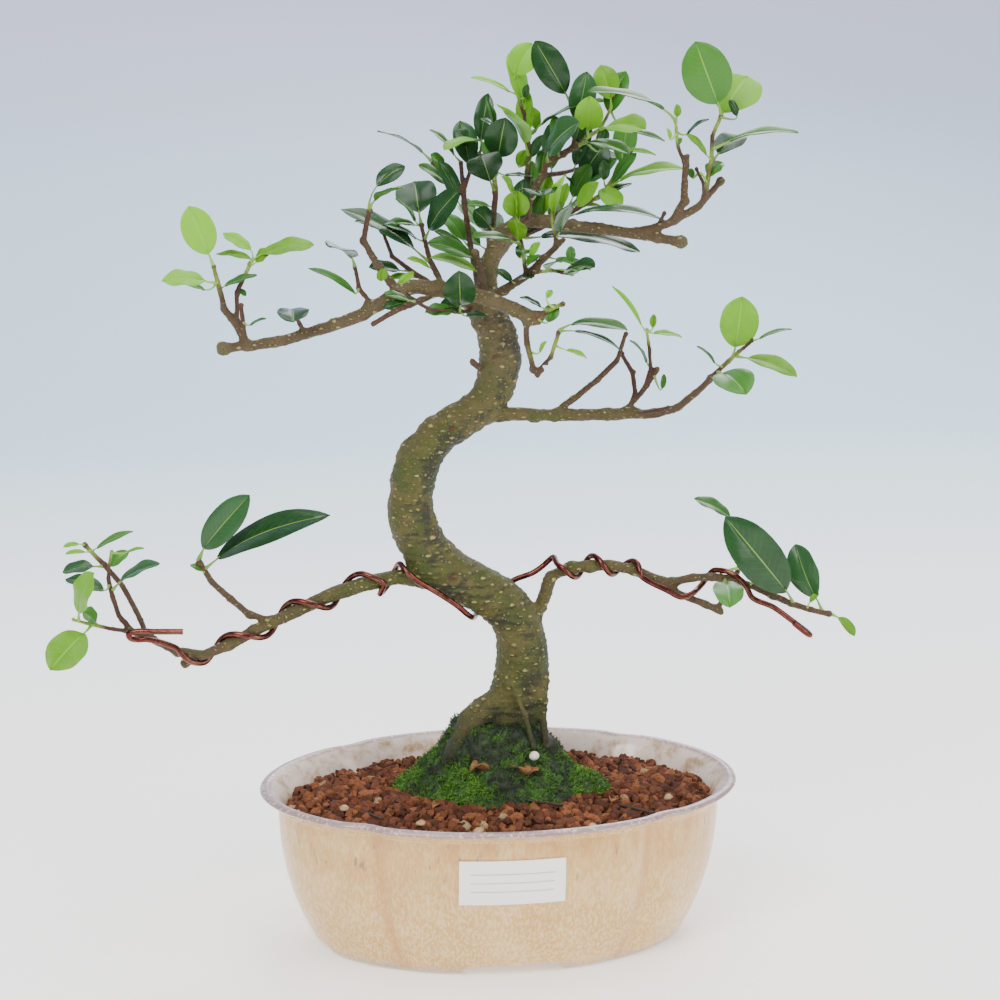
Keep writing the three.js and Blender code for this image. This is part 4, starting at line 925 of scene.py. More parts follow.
class BONSAI_OT_moss(bpy.types.Operator):
    """Grow the moss mound and its shoots"""
    bl_idname = "bonsai.moss"
    bl_label = "Moss"

    def execute(self, context):
        sizes = context.scene.bonsai_moss
        mound = self.mound()
        points = coordinates(mound.data)
        normals = np.array([v.normal for v in mound.data.vertices])
        lumps = np.array([noise.noise(Vector(p) * 170) + 0.5 * noise.noise(Vector(p) * 420) for p in points])
        points += normals * (lumps * 0.0016 - 0.0002)[:, None]
        points[:, 2] = np.maximum(points[:, 2], 0.0555)
        set_coordinates(mound.data, points)
        set_attribute(mound.data, "fresh", [self.fresh(Vector(p)) * 0.35 for p in points])
        tufts = self.tufts(mound, sizes)
        film = self.film(sizes)
        material = moss_material(sizes)
        wear(mound, material)
        wear(tufts, material)
        wear(film, material)
        smooth(mound)
        whole = join([mound, tufts, film], "moss_cushions")
        finish_piece(whole, "moss", "moss")
        return {"FINISHED"}

    def mound(self):
        """A hollow-sided cone round the trunk's foot, with cushions along its edge."""
        deselect()
        foot = plant(-2, 4, -1.5)
        bpy.ops.mesh.primitive_cone_add(
            vertices=48, radius1=0.039, radius2=0.026, depth=0.014, location=(0, 0, 0.007))
        cone = bpy.context.object
        bpy.ops.mesh.primitive_cone_add(
            vertices=48, radius1=0.030, radius2=0.016, depth=0.026, location=(-0.001, 0, 0.015))
        heap = join([cone, bpy.context.object], "moss_mound")
        settle(heap)
        points = coordinates(heap.data)
        points[:, 1] *= 0.72
        turned = Matrix.Rotation(PLANT_TURN, 3, "Z")
        set_coordinates(heap.data, points @ np.array(turned).T + np.array(foot))
        parts = [heap]
        for x, y, size, high in CUSHIONS:
            bpy.ops.mesh.primitive_uv_sphere_add(
                segments=24, ring_count=12, radius=size * MM, location=plant(x, y, -1))
            cushion = bpy.context.object
            cushion.scale = (1, 0.9, (high + 1) / size)
            settle(cushion)
            parts.append(cushion)
        heap = join(parts, "moss_mound")
        apply(heap, "REMESH", mode="VOXEL", voxel_size=0.0009)
        apply(heap, "SMOOTH", factor=0.5, iterations=34)
        return heap

    def fresh(self, spot):
        """How young the moss is here: bright at both ends, dark by the trunk."""
        middle, half = MOSS_MIDDLE, MOSS_HALF
        side = abs(spot.x - middle.x) / half.x
        front = (middle.y - spot.y) / half.y
        high = (spot.z - SOIL_TOP) / 0.026
        value = 0.30 + 0.5 * side ** 1.5 + 0.16 * max(0.0, front) - 0.28 * max(0.0, high)
        value += 0.65 * noise.noise(spot * 95) + 0.8 * noise.noise(spot * 330)
        # Two cushions at the ends have just put on new growth.
        for x, y in ((33, -3), (-12, -14)):
            gap = (spot - plant(x, y, 5)).length
            value += 0.75 * max(0.0, 1 - gap / 0.011)
        return min(1.0, max(0.0, value))

    def film(self, sizes):
        """Moss that has climbed the roots and the trunk's foot."""
        wood = bpy.data.objects["fig_wood"]
        top = SOIL_TOP + 0.033

        def grows(polygon):
            spot = polygon.center
            if spot.z > top or spot.z < SOIL_TOP - 0.001:
                return False
            ragged = noise.noise(spot * 140) * 0.014
            return spot.z < SOIL_TOP + 0.018 + ragged

        return self.tufts(wood, sizes, grows, sizes.shoots // 2, 0.8)

    def tufts(self, mound, sizes, grows=None, count=None, scale=1.0):
        rng = np.random.default_rng(4)
        mesh = mound.data
        grows = grows or (lambda p: p.normal.z > -0.1 and p.center.z > 0.057)
        polygons = [p for p in mesh.polygons if grows(p)]
        areas = np.array([p.area for p in polygons])
        chosen = rng.choice(len(polygons), size=count or sizes.shoots, p=areas / areas.sum())
        points, faces, fresh = [], [], []
        for index in chosen:
            polygon = polygons[index]
            root = polygon.center
            young = self.fresh(root)
            way = (polygon.normal + Vector(rng.normal(0, 0.45, 3)) + Vector((0, 0, 0.35))).normalized()
            tall = sizes.shoot * rng.uniform(0.45, 1.15) * (0.65 + 0.5 * young) * scale
            side = way.orthogonal().normalized()
            cross = way.cross(side)
            turn = rng.uniform(0, math.tau)
            for leaf in range(5):
                angle = turn + leaf * 2.4
                out = side * math.cos(angle) + cross * math.sin(angle)
                edge = way.cross(out)
                foot = root + way * tall * 0.16 * leaf
                tip = foot + (way * 0.62 + out * 0.55) * tall * 0.62
                wide = edge * tall * 0.12
                start = len(points)
                points += [foot - wide, foot + wide, tip]
                faces.append((start, start + 1, start + 2))
                fresh += [young * 0.45, young * 0.45, min(1.0, young * 1.1 + 0.3 * leaf / 4)]
        piece = mesh_piece("tufts", points, faces)
        set_attribute(piece.data, "fresh", fresh)
        return piece


# ---------------------------------------------------------------- wood

SCARS = ((-16.4, -12.0, 88.8, 2.6), (-2.3, -2.0, 170.3, 1.6), (-15.9, -6.0, 144.6, 2.0),
         (-22.3, -14.0, 117.7, 1.4), (14.1, -12.0, 188.8, 2.4))


# Sharp bends in the twigs: x, y and z in the turned plant, and radius
BENDS = ((14, -13, 167, 1.3), (14.2, -13, 168.2, 1.3), (12.9, -12.4, 169, 1.1),
         (15.8, -13.3, 168.9, 1.2), (17.5, -13.7, 171.4, 0.9))


# How many random points of the bark are tried as the middle of a pore
PORE_TRIES = 60000


class BONSAI_OT_wood(bpy.types.Operator):
    """Grow the bark over the tree's limbs"""
    bl_idname = "bonsai.wood"
    bl_label = "Trunk and Branches"

    def execute(self, context):
        sizes = context.scene.bonsai_wood
        wood = cad_copy("trunk_and_branches", "fig_wood")
        # The thinnest twigs would slip between the voxels, so all limbs gain a little.
        apply(wood, "DISPLACE", strength=0.00022, mid_level=0.0)
        wood = self.knuckles(wood)
        apply(wood, "REMESH", mode="VOXEL", voxel_size=sizes.voxel)
        girth = self.girth(wood)
        group = wood.vertex_groups.new(name="thick")
        for index, value in enumerate(girth):
            group.add([index], min(1.0, max(0.0, (value * 1000 - 2.0) / 7.0)), "REPLACE")
        apply(wood, "SMOOTH", factor=0.5, iterations=3)
        apply(wood, "SMOOTH", factor=0.5, iterations=90, vertex_group="thick")
        wood.vertex_groups.clear()
        self.grain(wood, girth, sizes)
        self.scars(wood)
        self.pores(wood, girth)
        points = coordinates(wood.data)
        normals = np.array([v.normal for v in wood.data.vertices])
        # Near the soil the bark gets painted shade and damp darkening, and fewer pores.
        damp = np.clip((SOIL_TOP + 0.040 - points[:, 2]) / 0.026, 0, 1)
        # Painted shade: the trunk's lower and right-hand sides, away from the light, are darkened in
        # patches.
        painted_side_shade = np.clip(0.42 + 0.6 * normals[:, 0] - 0.8 * normals[:, 2] + 0.1 * normals[:, 1], 0, 1)
        painted_side_shade *= np.clip((girth - 0.006) / 0.008, 0, 1)
        # Aerial roots are thin, but have the trunk's skin.
        root = (points[:, 2] < SOIL_TOP + 0.055) & (np.abs(points[:, 0] - POT_MIDDLE.x) < 0.04)
        skin = np.where(root, np.maximum(girth, 0.0055), girth)
        set_attribute(wood.data, "girth", skin * 1000)
        set_attribute(wood.data, "damp", damp)
        set_attribute(wood.data, "painted_side_shade", painted_side_shade)
        set_attribute(wood.data, "young", self.young(points, girth))
        # The wood is cut down to the set number of triangles, and flat bark gives some up.
        # A finished piece stays under 200,000 triangles, so flat bark gives some up.
        faces = sum(len(p.vertices) - 2 for p in wood.data.polygons)
        apply(wood, "DECIMATE", ratio=min(1.0, sizes.faces / faces))
        smooth(wood)
        wear(wood, bark_material(sizes))
        finish_piece(wood, "living_bark", "trunk_and_branches")
        return {"FINISHED"}

    def knuckles(self, wood):
        """Old leaf scars swell the twigs into knuckles, and fill the sharp bends."""
        rng = random.Random(6)
        tree = surface_of(wood)
        points = [v.co.copy() for v in wood.data.vertices]
        ways = [v.normal.copy() for v in wood.data.vertices]
        order = list(range(len(points)))
        rng.shuffle(order)
        taken, knobs = [], [(plant(*spot), size * MM) for *spot, size in BENDS]
        for index in order:
            spot, way = points[index], -ways[index]
            hit = tree.ray_cast(spot + way * 0.0001, way, 0.01)
            if hit[0] is None or not 0.0011 < hit[3] < 0.0052:
                continue
            if any((spot - other).length < rng.uniform(0.0045, 0.008) for other in taken):
                continue
            taken.append(spot)
            side = Vector((rng.uniform(-1, 1), rng.uniform(-1, 1), rng.uniform(-1, 1))) * hit[3] * 0.14
            knobs.append((spot + way * hit[3] / 2 + side, hit[3] / 2 * rng.uniform(1.12, 1.34)))
        deselect()
        bpy.ops.mesh.primitive_ico_sphere_add(subdivisions=2, radius=1)
        ball = bpy.context.object
        shape = coordinates(ball.data)
        polygons = np.array([tuple(p.vertices) for p in ball.data.polygons])
        bpy.data.objects.remove(ball)
        spots = np.concatenate([shape * size + np.array(place_) for place_, size in knobs])
        faces = np.concatenate([polygons + len(shape) * k for k in range(len(knobs))])
        return join([wood, mesh_piece("knuckles", spots, faces.tolist())], "fig_wood")

    def girth(self, wood):
        """Thickness under every point, by looking straight through the wood."""
        tree = surface_of(wood)
        found = np.empty(len(wood.data.vertices))
        for vertex in wood.data.vertices:
            way = -vertex.normal
            hit = tree.ray_cast(vertex.co + way * 0.00005, way, 0.06)
            found[vertex.index] = hit[3] if hit[0] is not None else 0.002
        # Neighbours share their values, so that one stray ray leaves no spot.
        edges = np.empty(len(wood.data.edges) * 2, dtype=int)
        wood.data.edges.foreach_get("vertices", edges)
        first, second = edges.reshape(-1, 2).T
        for _ in range(12):
            total, count = found.copy(), np.ones(len(found))
            np.add.at(total, first, found[second])
            np.add.at(total, second, found[first])
            np.add.at(count, first, 1)
            np.add.at(count, second, 1)
            found = total / count
        return found

    def grain(self, wood, girth, sizes):
        points = coordinates(wood.data)
        normals = np.array([v.normal for v in wood.data.vertices])
        lift = np.empty(len(points))
        for index, point in enumerate(points):
            spot = Vector(point)
            large = noise.noise(spot * 75) * 1.6
            medium = noise.noise(Vector((spot.x, spot.y, spot.z * 0.6)) * 230)
            # Fig bark wrinkles in short rings that lie across the limb.
            rings = noise.noise(Vector((spot.x * 90, spot.y * 90, spot.z * 620)))
            fine = noise.noise(spot * 800)
            lift[index] = large * 0.55 + medium * 0.5 + rings * 0.55 + fine * 0.3
        reach = np.clip(girth / 0.012, 0.12, 1.0) * sizes.ripple
        points += normals * (lift * reach)[:, None]
        set_coordinates(wood.data, points)

    def pores(self, wood, girth):
        """Raised pale pores, which are wider across the limb than along it."""
        rng = random.Random(12)
        points = coordinates(wood.data)
        normals = np.array([v.normal for v in wood.data.vertices])
        tree = KDTree(len(points))
        for index, point in enumerate(points):
            tree.insert(point, index)
        tree.balance()
        pore = np.zeros(len(points))
        lift = np.zeros(len(points))
        taken = np.zeros(len(points), dtype=bool)
        for _ in range(PORE_TRIES):
            index = rng.randrange(len(points))
            thick = girth[index]
            spot = Vector(points[index])
            if taken[index] or thick < 2.2 * MM or spot.z < SOIL_TOP + 30 * MM:
                continue
            # Pores come in crowds, and most of them stay small.
            crowd = noise.noise(spot * 110) + 0.5 * noise.noise(spot * 300)
            if crowd < rng.uniform(-0.75, 0.45):
                continue
            width = (0.26 + 0.8 * rng.random() ** 2.2) * MM * min(1.0, 0.5 + thick / 0.016)
            flat, strength = rng.uniform(1.2, 2.6), rng.uniform(0.4, 0.95)
            room = width * rng.uniform(1.6, 3.6) + 0.4 * MM
            for _, near, _ in tree.find_range(points[index], room):
                taken[near] = True
                shift = points[near] - points[index]
                ragged = 1 + 0.5 * noise.noise(Vector(points[near]) * 1500)
                reach = ragged * math.hypot(shift[0] * 0.85, shift[1] * 0.85, shift[2] * flat) / width
                value = strength * min(1.0, max(0.0, 1.45 - reach))
                if value > pore[near]:
                    pore[near] = value
                    lift[near] = value ** 0.7 * width * 0.4
        set_coordinates(wood.data, points + normals * lift[:, None])
        set_attribute(wood.data, "pore", pore)

    def scars(self, wood):
        """Healed cuts: a dent with a swollen rim, at x, y, z and width in the turned plant."""
        points = coordinates(wood.data)
        normals = np.array([v.normal for v in wood.data.vertices])
        scar = np.zeros(len(points))
        tree = surface_of(wood)
        for x, y, z, width in SCARS:
            spot = tree.find_nearest(plant(x, y, z))[0]
            gap = np.linalg.norm(points - np.array(spot), axis=1) / (width * MM)
            dent = np.exp(-(gap * 1.5) ** 2)
            swell = np.exp(-((gap - 1.15) * 2.6) ** 2)
            points += normals * (swell * 0.35 - dent * 0.6)[:, None] * width * 0.5 * MM
            scar = np.maximum(scar, np.clip(dent * 1.6 - 0.5, 0, 1))
        set_coordinates(wood.data, points)
        set_attribute(wood.data, "scar", scar)

    def young(self, points, girth):
        """Green only on the thinnest shoots that bear bright leaves."""
        from_tips = np.full(len(points), 1.0)
        for place_mm, age in shoot_tips():
            if age != "bright":
                continue
            spot = np.array(place_mm)
            gap = np.linalg.norm(points - spot, axis=1)
            from_tips = np.minimum(from_tips, gap)
        near = np.clip(1.3 - from_tips / 0.0045, 0, 1)
        thin = np.clip((0.0024 - girth) / 0.0009, 0, 1)
        return near * thin


# ---------------------------------------------------------------- wire

class BONSAI_OT_wire(bpy.types.Operator):
    """Sweep the round training wire along its windings"""
    bl_idname = "bonsai.wire"
    bl_label = "Training Wire"

    def execute(self, context):
        sizes = context.scene.bonsai_wire
        copy = cad_copy("training_wire", "wire_guide")
        middles, radius = self.middles(copy)
        bpy.data.objects.remove(copy)
        line = catmull(middles, 4)
        curve = bpy.data.curves.new("training_wire_round", "CURVE")
        curve.dimensions = "3D"
        curve.bevel_depth = radius
        curve.bevel_resolution = 4
        curve.use_fill_caps = True
        spline = curve.splines.new("POLY")
        spline.points.add(len(line) - 1)
        for point, spot in zip(spline.points, line):
            point.co = (*spot, 1)
        wire = bpy.data.objects.new("training_wire_round", curve)
        bpy.context.scene.collection.objects.link(wire)
        pick(wire)
        bpy.ops.object.convert(target="MESH")
        wire = named(bpy.context.object, "training_wire_round")
        smooth(wire, math.radians(50))
        wear(wire, wire_material(sizes))
        finish_piece(wire, "anodised_wire", "training_wire")
        return {"FINISHED"}

    def middles(self, copy):
        """The wire's middle line: every ring of the CAD sweep, one after another."""
        mesh = copy.data
        near = {v.index: set() for v in mesh.vertices}
        for edge in mesh.edges:
            a, b = edge.vertices
            near[a].add(b)
            near[b].add(a)
        free = plant(-118, -35, 74)
        ring = sorted(near, key=lambda i: (mesh.vertices[i].co - free).length)[:6]
        seen, line, radius = set(ring), [], 0.0
        while ring:
            spots = np.array([mesh.vertices[i].co for i in ring])
            middle = spots.mean(axis=0)
            line.append(middle)
            radius = max(radius, np.linalg.norm(spots - middle, axis=1).mean())
            ring = sorted({n for i in ring for n in near[i]} - seen)
            seen |= set(ring)
        return line, radius * 1.04


def catmull(points, steps):
    """A smooth line through points, as an array."""
    points = np.asarray(points, dtype=float)
    ends = np.vstack([2 * points[0] - points[1], points, 2 * points[-1] - points[-2]])
    line = []
    for index in range(len(points) - 1):
        a, b, c, d = ends[index:index + 4]
        for step in range(steps):
            t = step / steps
            line.append(0.5 * (2 * b + (c - a) * t + (2 * a - 5 * b + 4 * c - d) * t * t
                               + (3 * b - a - 3 * c + d) * t ** 3))
    line.append(points[-1])
    return np.array(line)


# ---------------------------------------------------------------- leaves

# Leaves and buds too small for a CAD solid. Each row is in millimetres in the turned plant:
# where the stalk leaves the wood, where the blade starts, the tip, the width, and the age.
SMALL_LEAVES = (
    (-104.6, -12.2, 201.9, -109.3, -12, 198.8, -119, -10.7, 201.3, 3.3, "mid"),
    (-93.4, -3.6, 207.1, -92.9, -3.3, 212.7, -103.6, 0.1, 218.7, 5.6, "bright"),
    (-93.2, -4.8, 207.3, -92.8, -4.4, 209.5, -106.3, -1, 211, 4.1, "bright"),
    (-93.3, -4.8, 207.1, -90.9, -4.9, 208.4, -85.6, -5.4, 212.9, 6.7, "bright"),
    (-104.1, -10.2, 198.8, -102.1, -10.1, 200.1, -90.2, -9.3, 204.1, 5.9, "mid"),
    (-97.5, -5.9, 198.9, -97, -6.1, 198.4, -94.7, -7.5, 196, 2.2, "mid"),
    (-95.3, -13.1, 187, -92.8, -13.3, 185.9, -86.6, -14.8, 188.7, 2.6, "mid"),
    (-52.9, -4.7, 198.6, -53.9, -4.6, 196.4, -71.6, -4.5, 206.1, 3.4, "mid"),
    (-44.8, 13.2, 218.2, -46.7, 13, 219.4, -54.9, 10.8, 222.3, 3.4, "mid"),
    (-48.4, -12.7, 228.8, -45.1, -12.3, 237.1, -34.9, -9.1, 244.1, 8.1, "dark"),
    (-30.1, 12.6, 220.6, -32.2, 11.8, 220.6, -43, 7.8, 221, 5.7, "mid"),
    (-11.1, 17.4, 210.3, -13.4, 16.4, 211.7, -25.8, 11.2, 219.2, 4.2, "mid"),
    (-13.4, 0.7, 189.8, -14.9, 0.1, 190.2, -22.5, -2.7, 192.1, 8.3, "dark"),
    (-14.3, -1.5, 188.9, -12.8, -1.3, 187.7, -4.9, 0.5, 187.5, 3.4, "dark"),
    (-43.3, -5, 202.9, -44.4, -5.1, 201.4, -43.9, -6.4, 206.3, 4.9, "bright"),
    (-40.4, 1.5, 196.3, -39.1, 2, 197.4, -32.4, 4.4, 203.7, 3.4, "bright"),
    (5.7, -0.8, 199.8, 4.5, -0.3, 200.6, -1.9, 2.3, 205, 3.8, "dark"),
    (17.4, -11.1, 191.1, 15.2, -11, 192.4, 7.4, -10.3, 196, 4.5, "dark"),
    (14.4, -10.9, 187.8, 17.9, -10.7, 186.7, 20.9, -8.7, 193.2, 6.3, "mid"),
    (20.2, -12, 192.1, 17.4, -11.9, 195.8, 19.3, -10.9, 198.7, 2.6, "bright"),
    (6.6, 24, 269, 3.8, 23.4, 270, -10.9, 20.4, 275.5, 4.6, "bright"),
    (6.9, 22.8, 267.6, 9.5, 22.6, 267.7, 10.6, 21.1, 272.9, 3, "dark"),
    (10.7, 22.5, 253.7, 14.1, 22.1, 256.1, 11.7, 19, 264.4, 6.1, "bright"),
    (-2.9, 15.5, 247.8, 0, 15.5, 255.3, -7.5, 15.8, 260.5, 6, "dark"),
    (-7.7, 24.4, 246.6, -11.5, 24.5, 249.6, -16.8, 25.2, 255.6, 6.5, "dark"),
    (-21, 16.9, 239.9, -21.9, 16.6, 241, -26.1, 14.9, 247.1, 7.2, "mid"),
    (-2.1, 21.9, 226.8, -4.1, 21.7, 226.9, -14.5, 21, 227.4, 3.4, "mid"),
    (-2.5, 16.6, 218.4, -3.7, 16.5, 219.6, -9.9, 16, 226, 10.3, "dark"),
    (47.3, 29.1, 243.1, 48, 28.6, 247.8, 59.6, 24.2, 246.2, 2.7, "bright"),
    (42, 20.4, 263.3, 48.9, 19.8, 255.4, 62.2, 14.3, 252, 3, "mid"),
    (32.1, 16.8, 252.3, 37.9, 17, 248.5, 40.1, 18.7, 256.6, 5.3, "dark"),
    (30.9, 34.1, 235.3, 32.6, 34.6, 237.6, 41.1, 37.2, 249.6, 13.2, "dark"),
    (40.8, 26.6, 233.7, 39.9, 26.6, 236.5, 39.5, 26.7, 244.1, 4.6, "dark"),
    (38.1, 25.4, 230.8, 38.4, 24.9, 232.9, 46.7, 21, 226.7, 8.4, "bright"),
    (24.3, 30.1, 239.6, 25.7, 30.9, 237.4, 33, 35, 225.9, 3.5, "dark"),
    (-1.8, 17.8, 241.2, 1.9, 18, 239, 12.6, 19.5, 238.2, 4.6, "dark"),
    (10.4, 22.9, 243.2, 6.9, 23.1, 242.1, 9.9, 24.9, 248, 4.6, "bright"),
    (-2.3, 19, 237.1, -2.1, 18.7, 238.9, -1.1, 17, 248.5, 2.7, "bright"),
    (19.4, -15.4, 224, 19.4, -15, 226.1, 19.4, -13.1, 237.5, 2.2, "bright"),
    (27, 29.6, 226.3, 28.9, 29.9, 226.3, 38.7, 31.3, 226.6, 2.3, "bright"),
    (18, -6.7, 210.5, 20.8, -6.4, 209.7, 34, -3.5, 205.3, 4.8, "mid"),
    (26.8, -15.4, 205.2, 26.1, -15.2, 209.5, 26.1, -13.6, 215.2, 3.7, "mid"),
    (8.6, -7.7, 211.5, 11.1, -7.8, 211, 14.8, -8.8, 216.2, 3.7, "bright"),
    (8.6, -7.7, 211.5, 7.1, -7.5, 210.2, 7.1, -6.2, 215.2, 3.3, "dark"),
    (17, -8.3, 205.2, 18.7, -7.7, 205.1, 28, -4.7, 204.3, 2.2, "bright"),
    (81.6, 1.5, 261.5, 87.8, 1.3, 261.8, 84.6, 0.1, 267.7, 4.1, "dark"),
    (65.2, 0.4, 256.1, 69.3, 0.1, 255.3, 77, -2.7, 260.9, 3.3, "dark"),
    (78.5, 3.5, 246, 76.9, 2.8, 247.5, 68.8, -0.8, 255.3, 4.5, "bright"),
    (77.7, 5.2, 238.5, 78.6, 5.6, 239.4, 83.2, 7.9, 244.5, 9.4, "mid"),
    (77.4, 5.7, 237.5, 77, 5.4, 238.1, 74.7, 3.7, 241.1, 2.6, "bright"),
    (74.7, 13.9, 239.9, 72.6, 13.9, 238.2, 71.8, 13.8, 241.9, 2.6, "mid"),
    (65.2, -0.4, 259.3, 65.4, -0.5, 261.5, 65.2, -1.6, 266.3, 3, "bright"),
    (65.5, 0.4, 255.4, 63, 0.5, 253.4, 61.9, 1.3, 257.4, 2.2, "bright"),
    (65.4, 1.7, 250.9, 65.7, 1.7, 251.3, 67.5, 1.3, 253.8, 2.2, "mid"),
    (95.9, 2.6, 177.9, 98.3, 3.3, 178.5, 111.1, 7, 181.7, 2.7, "mid"),
    (85.5, 10.8, 166.5, 82.5, 10.7, 168, 75.4, 10.2, 174.7, 2.7, "mid"),
    (57.6, 12.9, 166.3, 56.3, 12.2, 168.1, 49.6, 8.6, 177.2, 6.5, "mid"),
    (56.6, 9.8, 180, 58.7, 10.4, 179.6, 69.9, 13.6, 177.7, 5.3, "bright"),
    (56, 9.6, 180, 58.4, 9.7, 181.7, 58.8, 10.6, 186.9, 2.7, "bright"),
    (56, 9.6, 180, 53.9, 9.2, 182.9, 42.5, 7.3, 198, 2.3, "bright"),
    (59.2, 11.3, 163, 62.3, 11.4, 157.8, 63.1, 12.6, 163.5, 2.3, "mid"),
    (22.2, -14.6, 183.7, 27.8, -14.7, 183.9, 44.9, -16.2, 177, 3.3, "dark"),
    (20.1, -13.2, 178.6, 24.9, -13, 176.5, 32.5, -11.3, 173.3, 3, "bright"),
    (11.1, -9.9, 175.6, 14.9, -9.9, 175.3, 17.2, -10.3, 179.5, 2.6, "bright"),
    (-155.4, -14.2, 99.7, -152.8, -13.8, 100.9, -139.2, -12, 107.1, 4.5, "mid"),
    (-157.5, -13, 101.9, -159.7, -13.1, 102.3, -165.6, -14.3, 101.5, 2.3, "bright"),
    (-155.4, -14.2, 99.7, -157.3, -14.4, 99.5, -164.4, -16.7, 99.3, 2.3, "bright"),
    (-145.5, -31.4, 91.2, -147.6, -30.9, 88.6, -162.9, -26.2, 92, 6.7, "dark"),
    (-148.8, -15.9, 93.2, -147.5, -15.8, 94.3, -140.4, -15.4, 99.8, 6.1, "mid"),
    (-144.3, -32.5, 103.8, -138.2, -32.6, 103.9, -131.7, -33.6, 105.7, 2.2, "bright"),
    (-149.1, -36.2, 77, -150, -36.5, 77.9, -154.7, -38.2, 82.5, 8.9, "mid"),
    (-113.6, -16, 96.9, -111.9, -15.9, 102.2, -110, -14.6, 107.4, 2.6, "bright"),
    (-111.8, -18.1, 92.5, -112.6, -18, 93, -117.2, -17.2, 95.2, 3, "mid"),
    (98.5, 13.8, 79.5, 101, 14, 85.4, 86.3, 16.1, 83.2, 2.4, "bright"),
    (121.3, 14.1, 70, 122.2, 14.1, 72.3, 125.8, 14.6, 75.9, 2.8, "bright"),
)

AGES = {"leaf_bright": "bright", "leaf_mid": "mid", "leaf_dark": "dark"}
CAD_LEAVES = {}


def shoot_tips():
    """Where each leaf leaves the wood, and its age."""
    tips = [(plant(*row[0:3]), row[10]) for row in SMALL_LEAVES]
    tips += [(leaf["stalk"][0], leaf["age"]) for leaf in cad_leaves().values()]
    return tips


def read_leaf(node, bark):
    """Finds the stalk and the blade's middle line, sides and top in a CAD leaf."""
    copy = cad_copy(node, node + "_guide")
    mesh = copy.data
    spots = [v.co.copy() for v in mesh.vertices]
    near = {i: set() for i in range(len(spots))}
    for edge in mesh.edges:
        a, b = edge.vertices
        near[a].add(b)
        near[b].add(a)
    # The two caps' middles touch only the four points of their ring.
    caps = [i for i in near if len(near[i]) == 4
            and all(len(near[i] & near[n]) == 2 for n in near[i])]
    first = min(caps, key=lambda i: bark.find_nearest(spots[i])[3])
    rings, seen, ring = [], {first}, sorted(near[first])
    while ring and len(ring) == 4:
        rings.append(ring)
        seen |= set(ring)
        ring = sorted({n for i in ring for n in near[i]} - seen)
    bpy.data.objects.remove(copy)
    return spots, rings


def frames_of(spots, rings):
    """Middle and half width of every blade ring, and which way the whole blade faces."""
    blade = []
    for ring in rings[2:]:
        far = max(((a, b) for i, a in enumerate(ring) for b in ring[i + 1:]),
                  key=lambda pair: (spots[pair[0]] - spots[pair[1]]).length)
        rest = [i for i in ring if i not in far]
        blade.append((far, rest))
    middles, ups, halves = [], [], []
    previous = None
    for far, rest in blade:
        a, b = spots[far[0]], spots[far[1]]
        side = b - a
        if previous is not None and side.dot(previous) < 0:
            a, b, side = b, a, -side
        previous = side
        middle = (spots[rest[0]] + spots[rest[1]]) / 2
        middles.append(middle)
        halves.append(side.length / 2)
        # The edges are folded up, so they show which way is up.
        ups.append((a + b) / 2 - middle)
    return middles, halves, sum(ups, Vector())


def cad_leaves():
    """Every CAD leaf's stalk and blade, read the first time they are asked for."""
    if CAD_LEAVES:
        return CAD_LEAVES
    bark = surface_of(frame["nodes"]["trunk_and_branches"])
    for node, slot in SLOTS.items():
        if slot not in AGES:
            continue
        spots, rings = read_leaf(node, bark)
        stalk = [sum((spots[i] for i in ring), Vector()) / len(ring) for ring in rings[:2]]
        middles, halves, lift = frames_of(spots, rings)
        CAD_LEAVES[node] = {"stalk": stalk, "middles": middles, "half": max(halves),
                            "lift": lift, "age": AGES[slot]}
    return CAD_LEAVES


